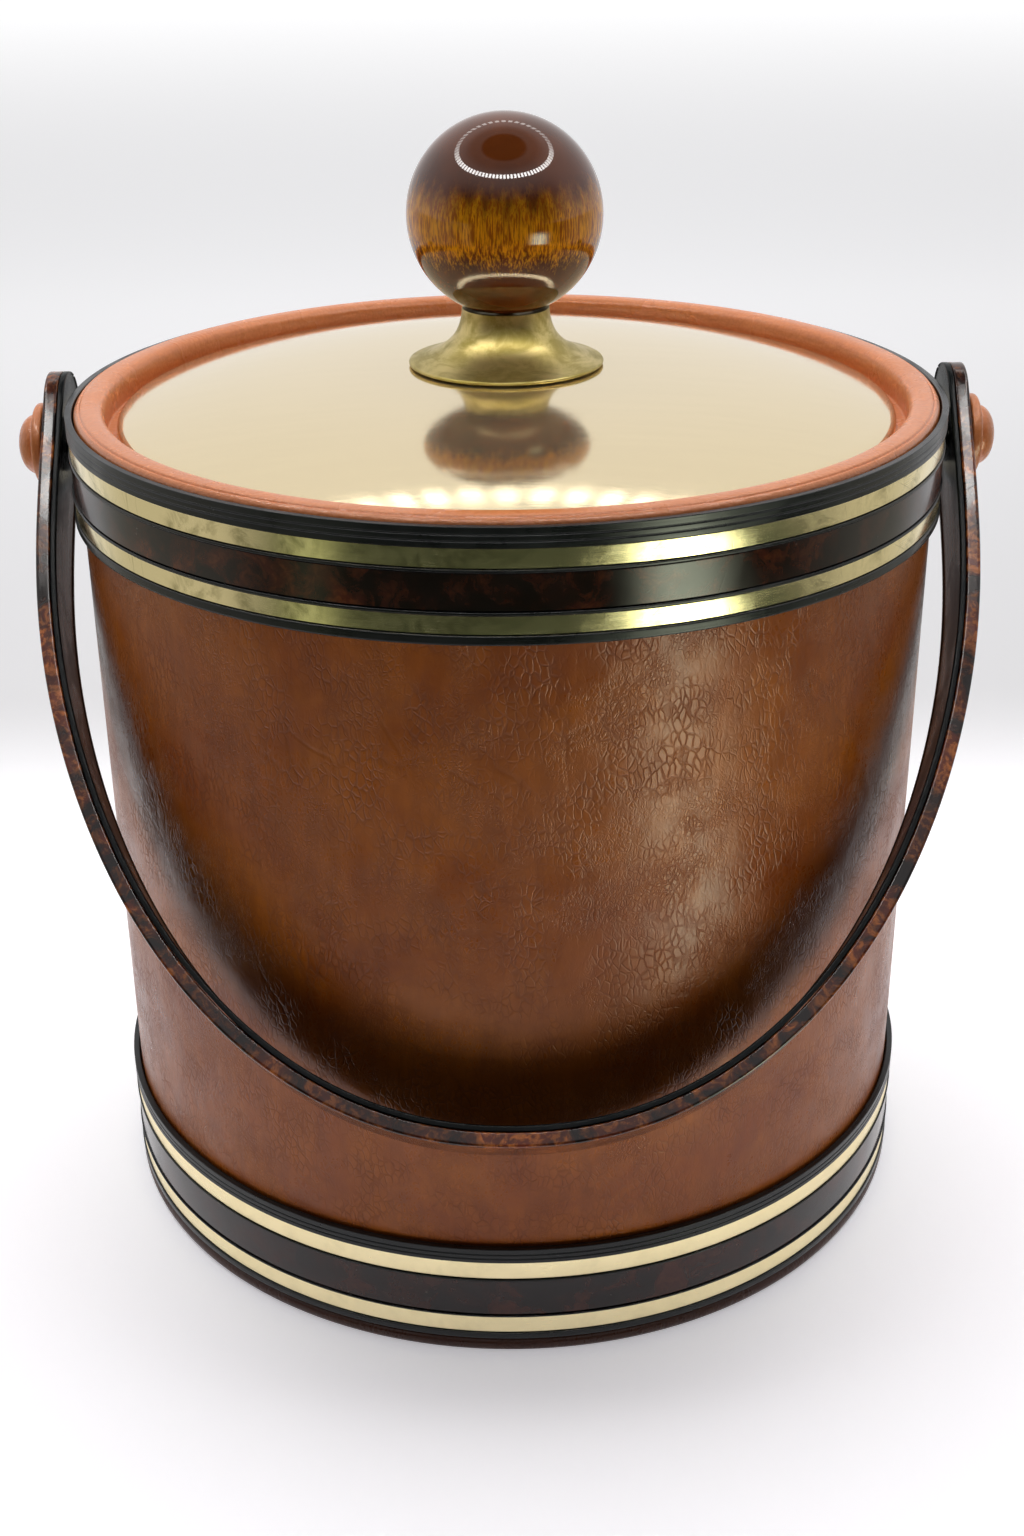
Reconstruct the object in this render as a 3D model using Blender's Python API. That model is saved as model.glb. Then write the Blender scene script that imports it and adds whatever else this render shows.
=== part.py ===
"""Insulated table-top ice bucket with a swing bail and a lift-off lid.

Units are metres, +Z is up. The origin is the centre of the base, on the surface that the bucket
stands on. The bail swings about an axis along X, and -X is the left side. Lengths are written in
millimetres and turned into metres by MM where the meshes are made.
"""
import math

import bmesh
import bpy

MM = 0.001
GAP = 0.3                  # clearance between touching pieces
SEGMENTS = 40              # facets around the bucket and its lid
SMALL_SEGMENTS = 24        # facets around the knob, the buttons and the pivot hardware

# --- bucket -------------------------------------------------------------------------------------
COVER_RADIUS = 93.4        # outside of the vinyl cover
COVER_THICKNESS = 0.7
TUBE_THICKNESS = 2.2
TUBE_TOP = 183.5
HEM_ROLL = 1.7             # radius of the rolled hem at the foot
HEM_INNER_RADIUS = 84.0
BASE_BOARD_BOTTOM = 1.0
BASE_BOARD_TOP = 4.0
FLOOR_FOAM_TOP = 11.8
SLEEVE_FOAM_TOP = 164.0

# --- liner --------------------------------------------------------------------------------------
LINER_WALL = 2.2
LINER_FLOOR = 14.3         # height of the well's floor
WELL_RADIUS_FOOT = 79.6
WELL_RADIUS_TOP = 82.0
LEDGE_HEIGHT = 182.0       # the ledge that the lid rests on
LEDGE_THICKNESS = 1.5
RIM_INNER_RADIUS = 87.0
RIM_CREST = 188.8

# --- trim bands ---------------------------------------------------------------------------------
BAND_RADIUS = 95.2         # outside of the black lips
BAND_GROOVE_RADIUS = 94.1
STRIP_RADIUS = 94.9
STRIP_THICKNESS = 0.55
STRIP_GAP = 0.2
UPPER_BAND = {"foot": 165.0, "lip_foot": 167.0, "rib_low": (170.9, 171.5),
              "rib_high": (179.0, 179.6), "lip_top": 183.7, "top": 187.6}
LOWER_BAND = {"foot": 3.7, "lip_foot": 5.4, "rib_low": (9.8, 10.2),
              "rib_high": (19.5, 19.9), "lip_top": 24.5, "top": 28.0}

# --- lid and knob -------------------------------------------------------------------------------
LID_RADIUS = 84.6
LID_SHEET = 0.6
LID_CROWN = 193.2          # top of the domed lid at its centre
LID_DOME_POWER = 3         # flat near the knob, steeper towards the shoulder
LID_SHOULDER_RADIUS = 83.0
LID_SHOULDER = 185.4
LID_EDGE_FOOT = 182.4
TRAY_RADIUS = 81.2
TRAY_FOOT = 176.0
TRAY_WALL = 1.5
TRAY_FLANGE_RADIUS = 83.6
FERRULE_RADIUS = 21.2
FERRULE_TOP = 205.4
BALL_RADIUS = 20.9
BALL_CENTRE = 224.8
KNOB_SCREW_RADIUS = 2.0
KNOB_BORE_RADIUS = 2.3
KNOB_BORE_TOP = 218.0

# --- bail and its pivots ------------------------------------------------------------------------
PIVOT_HEIGHT = 176.0
STUD_RADIUS = 2.0
STUD_HOLE_RADIUS = 2.3
BAIL_HALF_WIDTH = 103.6    # widest half width of the bail's outer face
BAIL_DEPTH = 155.7         # pivot axis to the outer face at the middle of the bail
BAIL_EXPONENT = 2.13       # squareness of the bail's curve, 2 being an ellipse
BAIL_NECK = 0.022          # how much narrower the bail is at its pivots
BAIL_NECK_REACH = 40.0
STRAP_WIDTH = 18.5
STRAP_THICKNESS = 3.0
LINING_THICKNESS = 1.2
LINING_GAP = 0.2
STRAP_CHAMFER = 0.5
STRAP_OVERRUN = 7.4        # straight length of the strap past each pivot, before its round end
BAIL_STEPS = 36
END_STEPS = 5


def finish(name, colour, roughness, metallic=0.0):
    """Principled material with a plain colour, roughness and metallic value."""
    material = bpy.data.materials.new(name)
    material.use_nodes = True
    shader = material.node_tree.nodes["Principled BSDF"]
    shader.inputs["Base Color"].default_value = (*colour, 1.0)
    shader.inputs["Roughness"].default_value = roughness
    shader.inputs["Metallic"].default_value = metallic
    material.diffuse_color = (*colour, 1.0)
    return material


def add_object(name, bm, material):
    """Turn a bmesh into a linked object, smooth except at its sharp edges."""
    bmesh.ops.recalc_face_normals(bm, faces=bm.faces)
    mesh = bpy.data.meshes.new(name)
    bm.to_mesh(mesh)
    bm.free()
    mesh.shade_smooth()
    mesh.set_sharp_from_angle(angle=math.radians(35))
    mesh.materials.append(material)
    piece = bpy.data.objects.new(name, mesh)
    bpy.context.scene.collection.objects.link(piece)
    return piece


def turned(name, outline, material, segments=SEGMENTS):
    """Solid of revolution about Z from a closed outline of (radius, height) points."""
    bm = bmesh.new()
    points = [bm.verts.new((radius * MM, 0.0, height * MM)) for radius, height in outline]
    for index, point in enumerate(points):
        following = (index + 1) % len(points)
        on_axis = outline[index][0] == 0.0 and outline[following][0] == 0.0
        if not on_axis:
            bm.edges.new((point, points[following]))
    bmesh.ops.spin(bm, geom=bm.verts[:] + bm.edges[:], cent=(0, 0, 0), axis=(0, 0, 1),
                   angle=math.tau, steps=segments, use_merge=True)
    bmesh.ops.remove_doubles(bm, verts=bm.verts, dist=1e-7)
    return add_object(name, bm, material)


def arc(centre_radius, centre_height, radius, start, end, steps):
    """Points of a circular arc in the outline plane, angles in degrees from +radius."""
    points = []
    for step in range(steps + 1):
        angle = math.radians(start + (end - start) * step / steps)
        points.append((centre_radius + radius * math.cos(angle),
                       centre_height + radius * math.sin(angle)))
    return points


def side_cutter(radius, inner, outer):
    """Cutter along X through both sides of the bucket at the pivot axis."""
    cutters = []
    for side in (-1, 1):
        bm = bmesh.new()
        bmesh.ops.create_cone(bm, cap_ends=True, segments=SMALL_SEGMENTS, radius1=radius * MM,
                              radius2=radius * MM, depth=(outer - inner) * MM)
        cutter = add_object(f"cutter_{radius}_{side}", bm, None)
        cutter.location = (side * (inner + outer) / 2 * MM, 0.0, PIVOT_HEIGHT * MM)
        cutter.rotation_euler = (0.0, math.pi / 2, 0.0)
        cutter.hide_render = True
        cutter.display_type = "WIRE"
        cutters.append(cutter)
    return cutters


def cut(piece, cutters):
    """Subtract each cutter from the piece with its own Boolean modifier."""
    for cutter in cutters:
        modifier = piece.modifiers.new("hole", "BOOLEAN")
        modifier.operation = "DIFFERENCE"
        modifier.object = cutter


# --- the bucket's pieces ------------------------------------------------------------------------
def make_shell(materials, stud_cutters):
    """Fibreboard tube, its vinyl cover with the rolled hem, the base boards and the insulation."""
    tube_outer = COVER_RADIUS - COVER_THICKNESS - GAP
    tube_inner = tube_outer - TUBE_THICKNESS
    foam_outer = tube_inner - GAP
    cover_inner = COVER_RADIUS - COVER_THICKNESS

    tube = turned("outer_tube", [(tube_inner, BASE_BOARD_TOP + GAP), (tube_outer, BASE_BOARD_TOP + GAP),
                                 (tube_outer, TUBE_TOP), (tube_inner, TUBE_TOP)], materials["board"])
    roll = arc(COVER_RADIUS, HEM_ROLL, HEM_ROLL, 90, -90, 6)
    cover = turned("vinyl_cover", [(cover_inner, TUBE_TOP), (COVER_RADIUS, TUBE_TOP)] + roll
                   + [(HEM_INNER_RADIUS, 0.0), (HEM_INNER_RADIUS, COVER_THICKNESS),
                      (cover_inner, COVER_THICKNESS)], materials["vinyl"])
    cut(tube, stud_cutters)
    cut(cover, stud_cutters)

    turned("base_board", [(0.0, BASE_BOARD_BOTTOM), (tube_outer, BASE_BOARD_BOTTOM),
                          (tube_outer, BASE_BOARD_TOP), (0.0, BASE_BOARD_TOP)], materials["board"])
    turned("base_cover_disc", [(0.0, 0.0), (HEM_INNER_RADIUS - GAP, 0.0),
                               (HEM_INNER_RADIUS - GAP, COVER_THICKNESS), (0.0, COVER_THICKNESS)],
           materials["base_paper"])
    turned("insulation_disc", [(0.0, BASE_BOARD_TOP + GAP), (foam_outer, BASE_BOARD_TOP + GAP),
                               (foam_outer, FLOOR_FOAM_TOP), (0.0, FLOOR_FOAM_TOP)], materials["foam"])
    sleeve_foot = FLOOR_FOAM_TOP + 2 * GAP
    turned("insulation_sleeve",
           [(liner_outer_radius(sleeve_foot) + GAP, sleeve_foot), (foam_outer, sleeve_foot),
            (foam_outer, SLEEVE_FOAM_TOP),
            (liner_outer_radius(SLEEVE_FOAM_TOP) + GAP, SLEEVE_FOAM_TOP)], materials["foam"])


def well_radius(height):
    """Radius of the tapered well at a height."""
    share = (height - LINER_FLOOR) / (LEDGE_HEIGHT - LINER_FLOOR)
    return WELL_RADIUS_FOOT + share * (WELL_RADIUS_TOP - WELL_RADIUS_FOOT)


def liner_outer_radius(height):
    """Radius of the liner's outer wall at a height."""
    return well_radius(height) + LINER_WALL


def make_liner(materials):
    """Moulded liner: the well, the ledge for the lid and the wide rounded rim, in one piece."""
    rim_outer = COVER_RADIUS
    shoulder = COVER_RADIUS - COVER_THICKNESS - TUBE_THICKNESS - 2 * GAP - 0.2
    under_rim = TUBE_TOP + GAP
    under_ledge = LEDGE_HEIGHT - LEDGE_THICKNESS
    liner_foot = LINER_FLOOR - LINER_WALL
    corner = 3.0
    crest_points = [(RIM_INNER_RADIUS, RIM_CREST - 2.4), (RIM_INNER_RADIUS + 0.8, RIM_CREST - 0.9),
                    (RIM_INNER_RADIUS + 2.3, RIM_CREST - 0.1), (RIM_INNER_RADIUS + 3.8, RIM_CREST),
                    (rim_outer - 1.2, RIM_CREST - 0.8), (rim_outer, RIM_CREST - 2.2)]
    outline = [(0.0, LINER_FLOOR), (WELL_RADIUS_FOOT - corner, LINER_FLOOR),
               (well_radius(LINER_FLOOR + corner), LINER_FLOOR + corner),
               (WELL_RADIUS_TOP, LEDGE_HEIGHT - 0.6), (WELL_RADIUS_TOP + 0.5, LEDGE_HEIGHT),
               (RIM_INNER_RADIUS, LEDGE_HEIGHT)]
    outline += crest_points
    outline += [(rim_outer, under_rim), (shoulder, under_rim), (shoulder, under_ledge),
                (liner_outer_radius(under_ledge), under_ledge),
                (liner_outer_radius(liner_foot + corner), liner_foot + corner),
                (WELL_RADIUS_FOOT + LINER_WALL - corner, liner_foot), (0.0, liner_foot)]
    turned("inner_liner", outline, materials["tan_plastic"])


def make_band(name, levels, strips, materials, stud_cutters):
    """Black channel with two ribs, and the three strips that lie in its grooves."""
    inner = COVER_RADIUS + GAP
    rib_low, rib_high = levels["rib_low"], levels["rib_high"]
    outline = [(inner, levels["foot"]), (BAND_RADIUS, levels["foot"]), (BAND_RADIUS, levels["lip_foot"])]
    for low, high in (rib_low, rib_high):
        outline += [(BAND_GROOVE_RADIUS, outline[-1][1]), (BAND_GROOVE_RADIUS, low),
                    (BAND_RADIUS, low), (BAND_RADIUS, high)]
    outline += [(BAND_GROOVE_RADIUS, rib_high[1]), (BAND_GROOVE_RADIUS, levels["lip_top"]),
                (BAND_RADIUS, levels["lip_top"]), (BAND_RADIUS, levels["top"] - 0.4),
                (BAND_RADIUS - 0.4, levels["top"]), (inner, levels["top"])]
    pieces = [turned(f"{name}_band_carrier", outline, materials["black_plastic"])]

    spans = ((levels["lip_foot"], rib_low[0]), (rib_low[1], rib_high[0]), (rib_high[1], levels["lip_top"]))
    for (strip, slot), (low, high) in zip(strips, spans):
        foot, top = low + STRIP_GAP, high - STRIP_GAP
        pieces.append(turned(strip, [(STRIP_RADIUS - STRIP_THICKNESS, foot), (STRIP_RADIUS, foot),
                                     (STRIP_RADIUS, top), (STRIP_RADIUS - STRIP_THICKNESS, top)],
                             materials[slot]))
    if levels["foot"] < PIVOT_HEIGHT < levels["top"]:
        cut(pieces[0], stud_cutters)
        cut(pieces[2], stud_cutters)


# --- the lid and its knob -----------------------------------------------------------------------
def dome(radius, drop=0.0):
    """Height of the lid's domed top at a radius, lowered by a drop."""
    rise = LID_CROWN - LID_SHOULDER
    return LID_CROWN - drop - rise * (radius / LID_SHOULDER_RADIUS) ** LID_DOME_POWER


def make_lid(materials):
    """Domed metal disc with a turned-down edge over a plastic tray filled with foam."""
    radii = [KNOB_BORE_RADIUS, 24.0, 42.0, 56.0, 66.0, 75.0, LID_SHOULDER_RADIUS]
    top = [(radius, dome(radius)) for radius in radii]
    edge = [(LID_RADIUS, LID_SHOULDER - 1.2), (LID_RADIUS, LID_EDGE_FOOT),
            (LID_RADIUS - LID_SHEET, LID_EDGE_FOOT), (LID_RADIUS - LID_SHEET, LID_SHOULDER - 1.5)]
    underside = [(radius - 0.2, dome(radius, LID_SHEET)) for radius in reversed(radii[1:])]
    turned("lid_disc", top + edge + underside + [(KNOB_BORE_RADIUS, dome(0.0, LID_SHEET))],
           materials["gold_metal"])

    flange_foot = LEDGE_HEIGHT + GAP
    flange_top = flange_foot + 1.0
    floor_top = TRAY_FOOT + TRAY_WALL
    turned("lid_tray", [(KNOB_BORE_RADIUS, TRAY_FOOT), (TRAY_RADIUS - 1.2, TRAY_FOOT),
                        (TRAY_RADIUS, TRAY_FOOT + 1.2), (TRAY_RADIUS, flange_foot),
                        (TRAY_FLANGE_RADIUS, flange_foot), (TRAY_FLANGE_RADIUS, flange_top),
                        (TRAY_RADIUS - TRAY_WALL, flange_top), (TRAY_RADIUS - TRAY_WALL, floor_top),
                        (KNOB_BORE_RADIUS, floor_top)], materials["tan_plastic"])
    foam_radius = TRAY_RADIUS - TRAY_WALL - GAP
    turned("lid_foam", [(KNOB_BORE_RADIUS, floor_top + GAP), (foam_radius, floor_top + GAP),
                        (foam_radius, flange_top + 1.0), (KNOB_BORE_RADIUS, flange_top + 4.0)],
           materials["foam"])


def make_knob(materials):
    """Ball on a flared ferrule, held by a screw that comes up through the lid."""
    foot = dome(FERRULE_RADIUS) + GAP
    bell = [(FERRULE_RADIUS, foot), (FERRULE_RADIUS, foot + 0.6), (18.9, foot + 1.3), (15.2, foot + 2.7),
            (12.4, foot + 4.6), (10.4, foot + 7.2), (9.2, foot + 9.8), (8.8, foot + 11.6),
            (9.0, FERRULE_TOP), (KNOB_BORE_RADIUS, FERRULE_TOP)]
    turned("knob_ferrule", bell + [(KNOB_BORE_RADIUS, dome(0.0) + GAP)], materials["aged_brass"],
           SMALL_SEGMENTS + 8)

    seat = FERRULE_TOP + GAP
    start = math.degrees(math.asin((seat - BALL_CENTRE) / BALL_RADIUS))
    sphere = arc(0.0, BALL_CENTRE, BALL_RADIUS, start, 90, 14)
    sphere[-1] = (0.0, BALL_CENTRE + BALL_RADIUS)
    turned("knob_ball", [(KNOB_BORE_RADIUS, seat)] + sphere
           + [(0.0, KNOB_BORE_TOP), (KNOB_BORE_RADIUS, KNOB_BORE_TOP)], materials["tiger_eye"],
           SMALL_SEGMENTS + 8)

    washer_top = TRAY_FOOT - GAP
    turned("knob_washer", [(KNOB_BORE_RADIUS, washer_top - 0.8), (6.0, washer_top - 0.8),
                           (6.0, washer_top), (KNOB_BORE_RADIUS, washer_top)], materials["steel"],
           SMALL_SEGMENTS)
    head_top = washer_top - 0.8 - GAP
    turned("knob_screw", [(0.0, head_top - 1.8), (2.4, head_top - 1.7), (3.6, head_top - 0.9),
                          (3.8, head_top), (KNOB_SCREW_RADIUS, head_top),
                          (KNOB_SCREW_RADIUS, KNOB_BORE_TOP - 2.0), (0.0, KNOB_BORE_TOP - 1.2)],
           materials["steel"], SMALL_SEGMENTS)


# --- the pivots ---------------------------------------------------------------------------------
def on_pivot(piece, side):
    """Lay a piece turned about Z along the pivot axis, its heights becoming distances out."""
    piece.location = (0.0, 0.0, PIVOT_HEIGHT * MM)
    piece.rotation_euler = (0.0, side * math.pi / 2, 0.0)
    return piece


def washer(name, inner, outer, near, far, material):
    """Flat round washer between two distances from the bucket's axis."""
    return turned(name, [(inner, near), (outer, near), (outer, far), (inner, far)], material,
                  SMALL_SEGMENTS)


def hex_nut(name, bore, across, near, far, material):
    """Six-sided nut with a round bore, built from two bridged rings."""
    bm = bmesh.new()
    rings = []
    for distance in (near, far):
        for radius, is_hexagon in ((across, True), (bore, False)):
            ring = []
            for step in range(SMALL_SEGMENTS):
                angle = math.tau * step / SMALL_SEGMENTS
                reach = radius
                if is_hexagon:
                    flat = (angle % (math.pi / 3)) - math.pi / 6
                    reach = radius * math.cos(math.pi / 6) / math.cos(flat)
                ring.append(bm.verts.new((reach * MM * math.cos(angle), reach * MM * math.sin(angle),
                                          distance * MM)))
            rings.append(ring)
    near_hex, near_bore, far_hex, far_bore = rings
    for first, second in ((near_hex, far_hex), (far_hex, far_bore), (far_bore, near_bore),
                          (near_bore, near_hex)):
        for step in range(SMALL_SEGMENTS):
            following = (step + 1) % SMALL_SEGMENTS
            bm.faces.new((first[step], first[following], second[following], second[step]))
    return add_object(name, bm, material)


def make_pivot(side_name, side, materials):
    """Stud through the wall, with nut and washer inside and washer and button outside."""
    tube_inner = COVER_RADIUS - COVER_THICKNESS - GAP - TUBE_THICKNESS
    strap_face = bail_half_width(0.0)
    lining_face = strap_face - STRAP_THICKNESS - LINING_GAP - LINING_THICKNESS
    button_face = strap_face + GAP
    washer_far = tube_inner - 2 * GAP
    nut_far = washer_far - 0.8 - 0.2
    nut_near = nut_far - 2.4
    bore_end = button_face + 3.6

    pieces = [
        turned(f"pivot_stud_{side_name}",
               [(0.0, nut_near - 0.4), (STUD_RADIUS, nut_near - 0.4),
                (STUD_RADIUS, bore_end - GAP), (0.0, bore_end - GAP)],
               materials["steel"], SMALL_SEGMENTS),
        hex_nut(f"stud_nut_{side_name}", STUD_HOLE_RADIUS, 4.0, nut_near, nut_far, materials["steel"]),
        washer(f"backing_washer_{side_name}", STUD_HOLE_RADIUS, 4.2, washer_far - 0.8, washer_far,
               materials["steel"]),
        washer(f"spacer_washer_{side_name}", STUD_HOLE_RADIUS, 6.0, BAND_RADIUS + GAP,
               lining_face - GAP, materials["black_plastic"]),
        turned(f"pivot_button_{side_name}",
               [(STUD_HOLE_RADIUS, button_face), (8.4, button_face), (9.0, button_face + 0.6),
                (9.0, button_face + 1.6), (8.4, button_face + 2.2), (6.7, button_face + 2.5),
                (6.4, button_face + 3.8), (5.3, button_face + 5.1), (3.2, button_face + 6.0),
                (0.0, button_face + 6.3), (0.0, bore_end), (STUD_HOLE_RADIUS, bore_end)],
               materials["tan_plastic"], SMALL_SEGMENTS),
    ]
    for piece in pieces:
        on_pivot(piece, side)


# --- the bail -----------------------------------------------------------------------------------
def bail_half_width(depth):
    """Half width of the bail's outer face at a depth below the pivots."""
    share = min(max(depth, 0.0) / BAIL_DEPTH, 1.0)
    curve = (1.0 - share ** BAIL_EXPONENT) ** (1.0 / BAIL_EXPONENT)
    neck = 1.0 - BAIL_NECK * math.exp(-(max(depth, 0.0) / BAIL_NECK_REACH) ** 2)
    return BAIL_HALF_WIDTH * curve * neck


def bail_stations():
    """Stations (x, depth, half strap width) along the outer face, left end to right end."""
    half = STRAP_WIDTH / 2
    neck = bail_half_width(0.0)
    left = []
    for step in range(END_STEPS + 1):
        angle = math.radians(12 + 78 * step / END_STEPS)
        left.append((-neck, -STRAP_OVERRUN - half * math.cos(angle), half * math.sin(angle)))
    left.append((-neck, 0.0, half))
    middle = []
    for step in range(1, BAIL_STEPS):
        angle = math.pi * step / BAIL_STEPS
        depth = BAIL_DEPTH * math.sin(angle) ** (2 / BAIL_EXPONENT)
        side = -1 if angle < math.pi / 2 else 1
        middle.append((side * bail_half_width(depth), depth, half))
    right = [(-x, depth, width) for x, depth, width in reversed(left)]
    return left + middle + right


def make_strap_piece(name, outer_offset, thickness, material, holder):
    """Sweep a chamfered strip along the bail, its outer face offset inwards from the curve.

    The bail hangs along -Z of its holder, with its width along Y.
    """
    stations = bail_stations()
    half_thickness = thickness / 2
    chamfer = min(STRAP_CHAMFER, thickness * 0.3)
    bm = bmesh.new()
    rings = []
    for index, (x, depth, half) in enumerate(stations):
        before = stations[max(index - 1, 0)]
        after = stations[min(index + 1, len(stations) - 1)]
        run, fall = after[0] - before[0], after[1] - before[1]
        length = math.hypot(run, fall)
        out_x, out_depth = -fall / length, run / length
        middle = outer_offset + half_thickness
        corner = min(chamfer, half * 0.4)
        section = [(-half, half_thickness - corner), (-half + corner, half_thickness),
                   (half - corner, half_thickness), (half, half_thickness - corner),
                   (half, corner - half_thickness), (half - corner, -half_thickness),
                   (-half + corner, -half_thickness), (-half, corner - half_thickness)]
        ring = []
        for across, out in section:
            shift = out - middle
            ring.append(bm.verts.new(((x + out_x * shift) * MM, across * MM,
                                      -(depth + out_depth * shift) * MM)))
        rings.append(ring)
    for ring, following in zip(rings, rings[1:]):
        for step in range(len(ring)):
            other = (step + 1) % len(ring)
            bm.faces.new((ring[step], ring[other], following[other], following[step]))
    bm.faces.new(rings[0])
    bm.faces.new(rings[-1])
    piece = add_object(name, bm, material)
    piece.parent = holder
    return piece


def bail_rest_lean():
    """Lean of the hanging bail from the vertical, with its lining against the bucket's front."""
    reach = BAIL_DEPTH - STRAP_THICKNESS - LINING_GAP - LINING_THICKNESS
    half = STRAP_WIDTH / 2
    standoff = COVER_RADIUS + GAP
    return math.asin(standoff / math.hypot(reach, half)) + math.atan2(half, reach)


def make_bail(materials, stud_cutters):
    """Strap and lining, hung from the pivot axis and leaning forwards onto the bucket."""
    holder = bpy.data.objects.new("bail_axis", None)
    bpy.context.scene.collection.objects.link(holder)
    holder.location = (0.0, 0.0, PIVOT_HEIGHT * MM)
    holder.rotation_euler = (-bail_rest_lean(), 0.0, 0.0)
    strap = make_strap_piece("handle_strap", 0.0, STRAP_THICKNESS, materials["tortoise"], holder)
    lining = make_strap_piece("handle_lining", STRAP_THICKNESS + LINING_GAP, LINING_THICKNESS,
                              materials["black_plastic"], holder)
    cut(strap, stud_cutters)
    cut(lining, stud_cutters)


def main():
    """Clear the scene and build the whole ice bucket."""
    for old in list(bpy.data.objects):
        bpy.data.objects.remove(old)

    materials = {
        "vinyl": finish("brown_vinyl", (0.12, 0.045, 0.018), 0.32),
        "board": finish("fibreboard", (0.35, 0.24, 0.14), 0.85),
        "base_paper": finish("black_base_paper", (0.02, 0.02, 0.022), 0.8),
        "foam": finish("white_foam", (0.85, 0.85, 0.83), 0.9),
        "tan_plastic": finish("tan_plastic", (0.55, 0.25, 0.13), 0.42),
        "black_plastic": finish("black_plastic", (0.012, 0.014, 0.015), 0.3),
        "gold_strip": finish("gold_foil", (0.62, 0.53, 0.3), 0.22, 1.0),
        "dark_strip": finish("dark_strip", (0.025, 0.014, 0.01), 0.2),
        "gold_metal": finish("gold_anodised", (0.78, 0.66, 0.4), 0.3, 1.0),
        "aged_brass": finish("aged_brass", (0.36, 0.28, 0.12), 0.3, 1.0),
        "tiger_eye": finish("tiger_eye", (0.22, 0.09, 0.02), 0.08),
        "steel": finish("zinc_steel", (0.6, 0.6, 0.6), 0.35, 1.0),
        "tortoise": finish("tortoise", (0.16, 0.05, 0.02), 0.18),
    }

    stud_cutters = side_cutter(STUD_HOLE_RADIUS, 86.0, 112.0)
    make_shell(materials, stud_cutters)
    make_liner(materials)
    upper_strips = (("upper_gold_strip_low", "gold_strip"), ("upper_tortoise_strip", "dark_strip"),
                    ("upper_gold_strip_high", "gold_strip"))
    lower_strips = (("lower_gold_strip_low", "gold_strip"), ("lower_dark_strip", "dark_strip"),
                    ("lower_gold_strip_high", "gold_strip"))
    make_band("upper", UPPER_BAND, upper_strips, materials, stud_cutters)
    make_band("lower", LOWER_BAND, lower_strips, materials, stud_cutters)
    make_lid(materials)
    make_knob(materials)
    for side_name, side in (("left", -1), ("right", 1)):
        make_pivot(side_name, side, materials)
    make_bail(materials, stud_cutters)


main()
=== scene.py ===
"""Looks of an insulated ice bucket: vinyl cover, trim bands, domed lid with a ball knob, swing bail.

Lengths are in metres. The bucket stands on the floor at z = 0, its axis is Z, and its front is -Y.
"""
import math

import bpy
import numpy as np
from mathutils import Matrix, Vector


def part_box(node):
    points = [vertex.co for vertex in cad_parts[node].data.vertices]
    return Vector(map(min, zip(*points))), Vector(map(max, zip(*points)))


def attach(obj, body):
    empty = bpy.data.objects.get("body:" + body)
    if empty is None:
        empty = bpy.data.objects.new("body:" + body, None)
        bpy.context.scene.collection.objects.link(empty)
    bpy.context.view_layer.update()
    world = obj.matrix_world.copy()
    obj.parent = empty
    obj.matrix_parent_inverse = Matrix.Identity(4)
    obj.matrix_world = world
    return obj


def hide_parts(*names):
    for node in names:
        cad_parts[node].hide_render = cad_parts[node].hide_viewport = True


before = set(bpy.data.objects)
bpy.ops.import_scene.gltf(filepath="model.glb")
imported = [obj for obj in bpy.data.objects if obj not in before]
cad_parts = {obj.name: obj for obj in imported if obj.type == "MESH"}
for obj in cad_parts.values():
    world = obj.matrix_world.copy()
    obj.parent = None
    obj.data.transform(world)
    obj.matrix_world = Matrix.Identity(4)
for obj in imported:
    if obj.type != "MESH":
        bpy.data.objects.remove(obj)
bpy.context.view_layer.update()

bl_info = {
    "name": "Ice Bucket Looks",
    "version": (1, 0, 0),
    "blender": (4, 5, 0),
    "location": "View3D > Sidebar > Ice Bucket",
    "description": "Makes the finished surfaces of an insulated ice bucket around its packed frame",
    "category": "Object",
}

MM = 0.001
TURN = math.tau
BACK = math.pi / 2          # angle of the back of the bucket, where every seam is put
CLEARANCE = 0.3 * MM        # gap left between neighbouring pieces
HEM_ROLL = 1.7 * MM         # radius of the vinyl's rolled hem
BORE = 2.3 * MM             # radius of the holes for studs and the knob's screw
STRAP_HALF = 9.25 * MM      # half the bail's width
STRAP_THICKNESS = 3.0 * MM
LINING_THICKNESS = 1.2 * MM
LINING_GAP = 0.2 * MM       # between the strap and its lining
BAIL_DEPTH = 155.7 * MM     # from the pivots to the bail's lowest outer point
BAIL_STANDOFF = 93.7 * MM   # level distance from the axis to the resting lining


def linear(red, green, blue):
    """Scene-linear colour of an 8-bit display colour."""
    shares = np.array([red, green, blue]) / 255.0
    return tuple(float(value) for value in
                 np.where(shares <= 0.04045, shares / 12.92, ((shares + 0.055) / 1.055) ** 2.4))


def low(node):
    """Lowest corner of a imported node's box."""
    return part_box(node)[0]


def high(node):
    """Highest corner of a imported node's box."""
    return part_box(node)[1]


# --- sizes and colours that a user may change --------------------------------------------------
def length(name, description, millimetres):
    """A length property in metres, from a default in millimetres."""
    return bpy.props.FloatProperty(name=name, description=description, default=millimetres * MM,
                                   min=0.0, precision=5, subtype="DISTANCE", unit="LENGTH")


def angle(name, description, degrees):
    """An angle property, from a default in degrees."""
    return bpy.props.FloatProperty(name=name, description=description,
                                   default=math.radians(degrees), subtype="ANGLE", unit="ROTATION")


def colour(name, description, red, green, blue):
    """A colour property, from an 8-bit display colour."""
    return bpy.props.FloatVectorProperty(name=name, description=description, size=3, min=0.0,
                                         max=1.0, default=linear(red, green, blue), subtype="COLOR")


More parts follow.
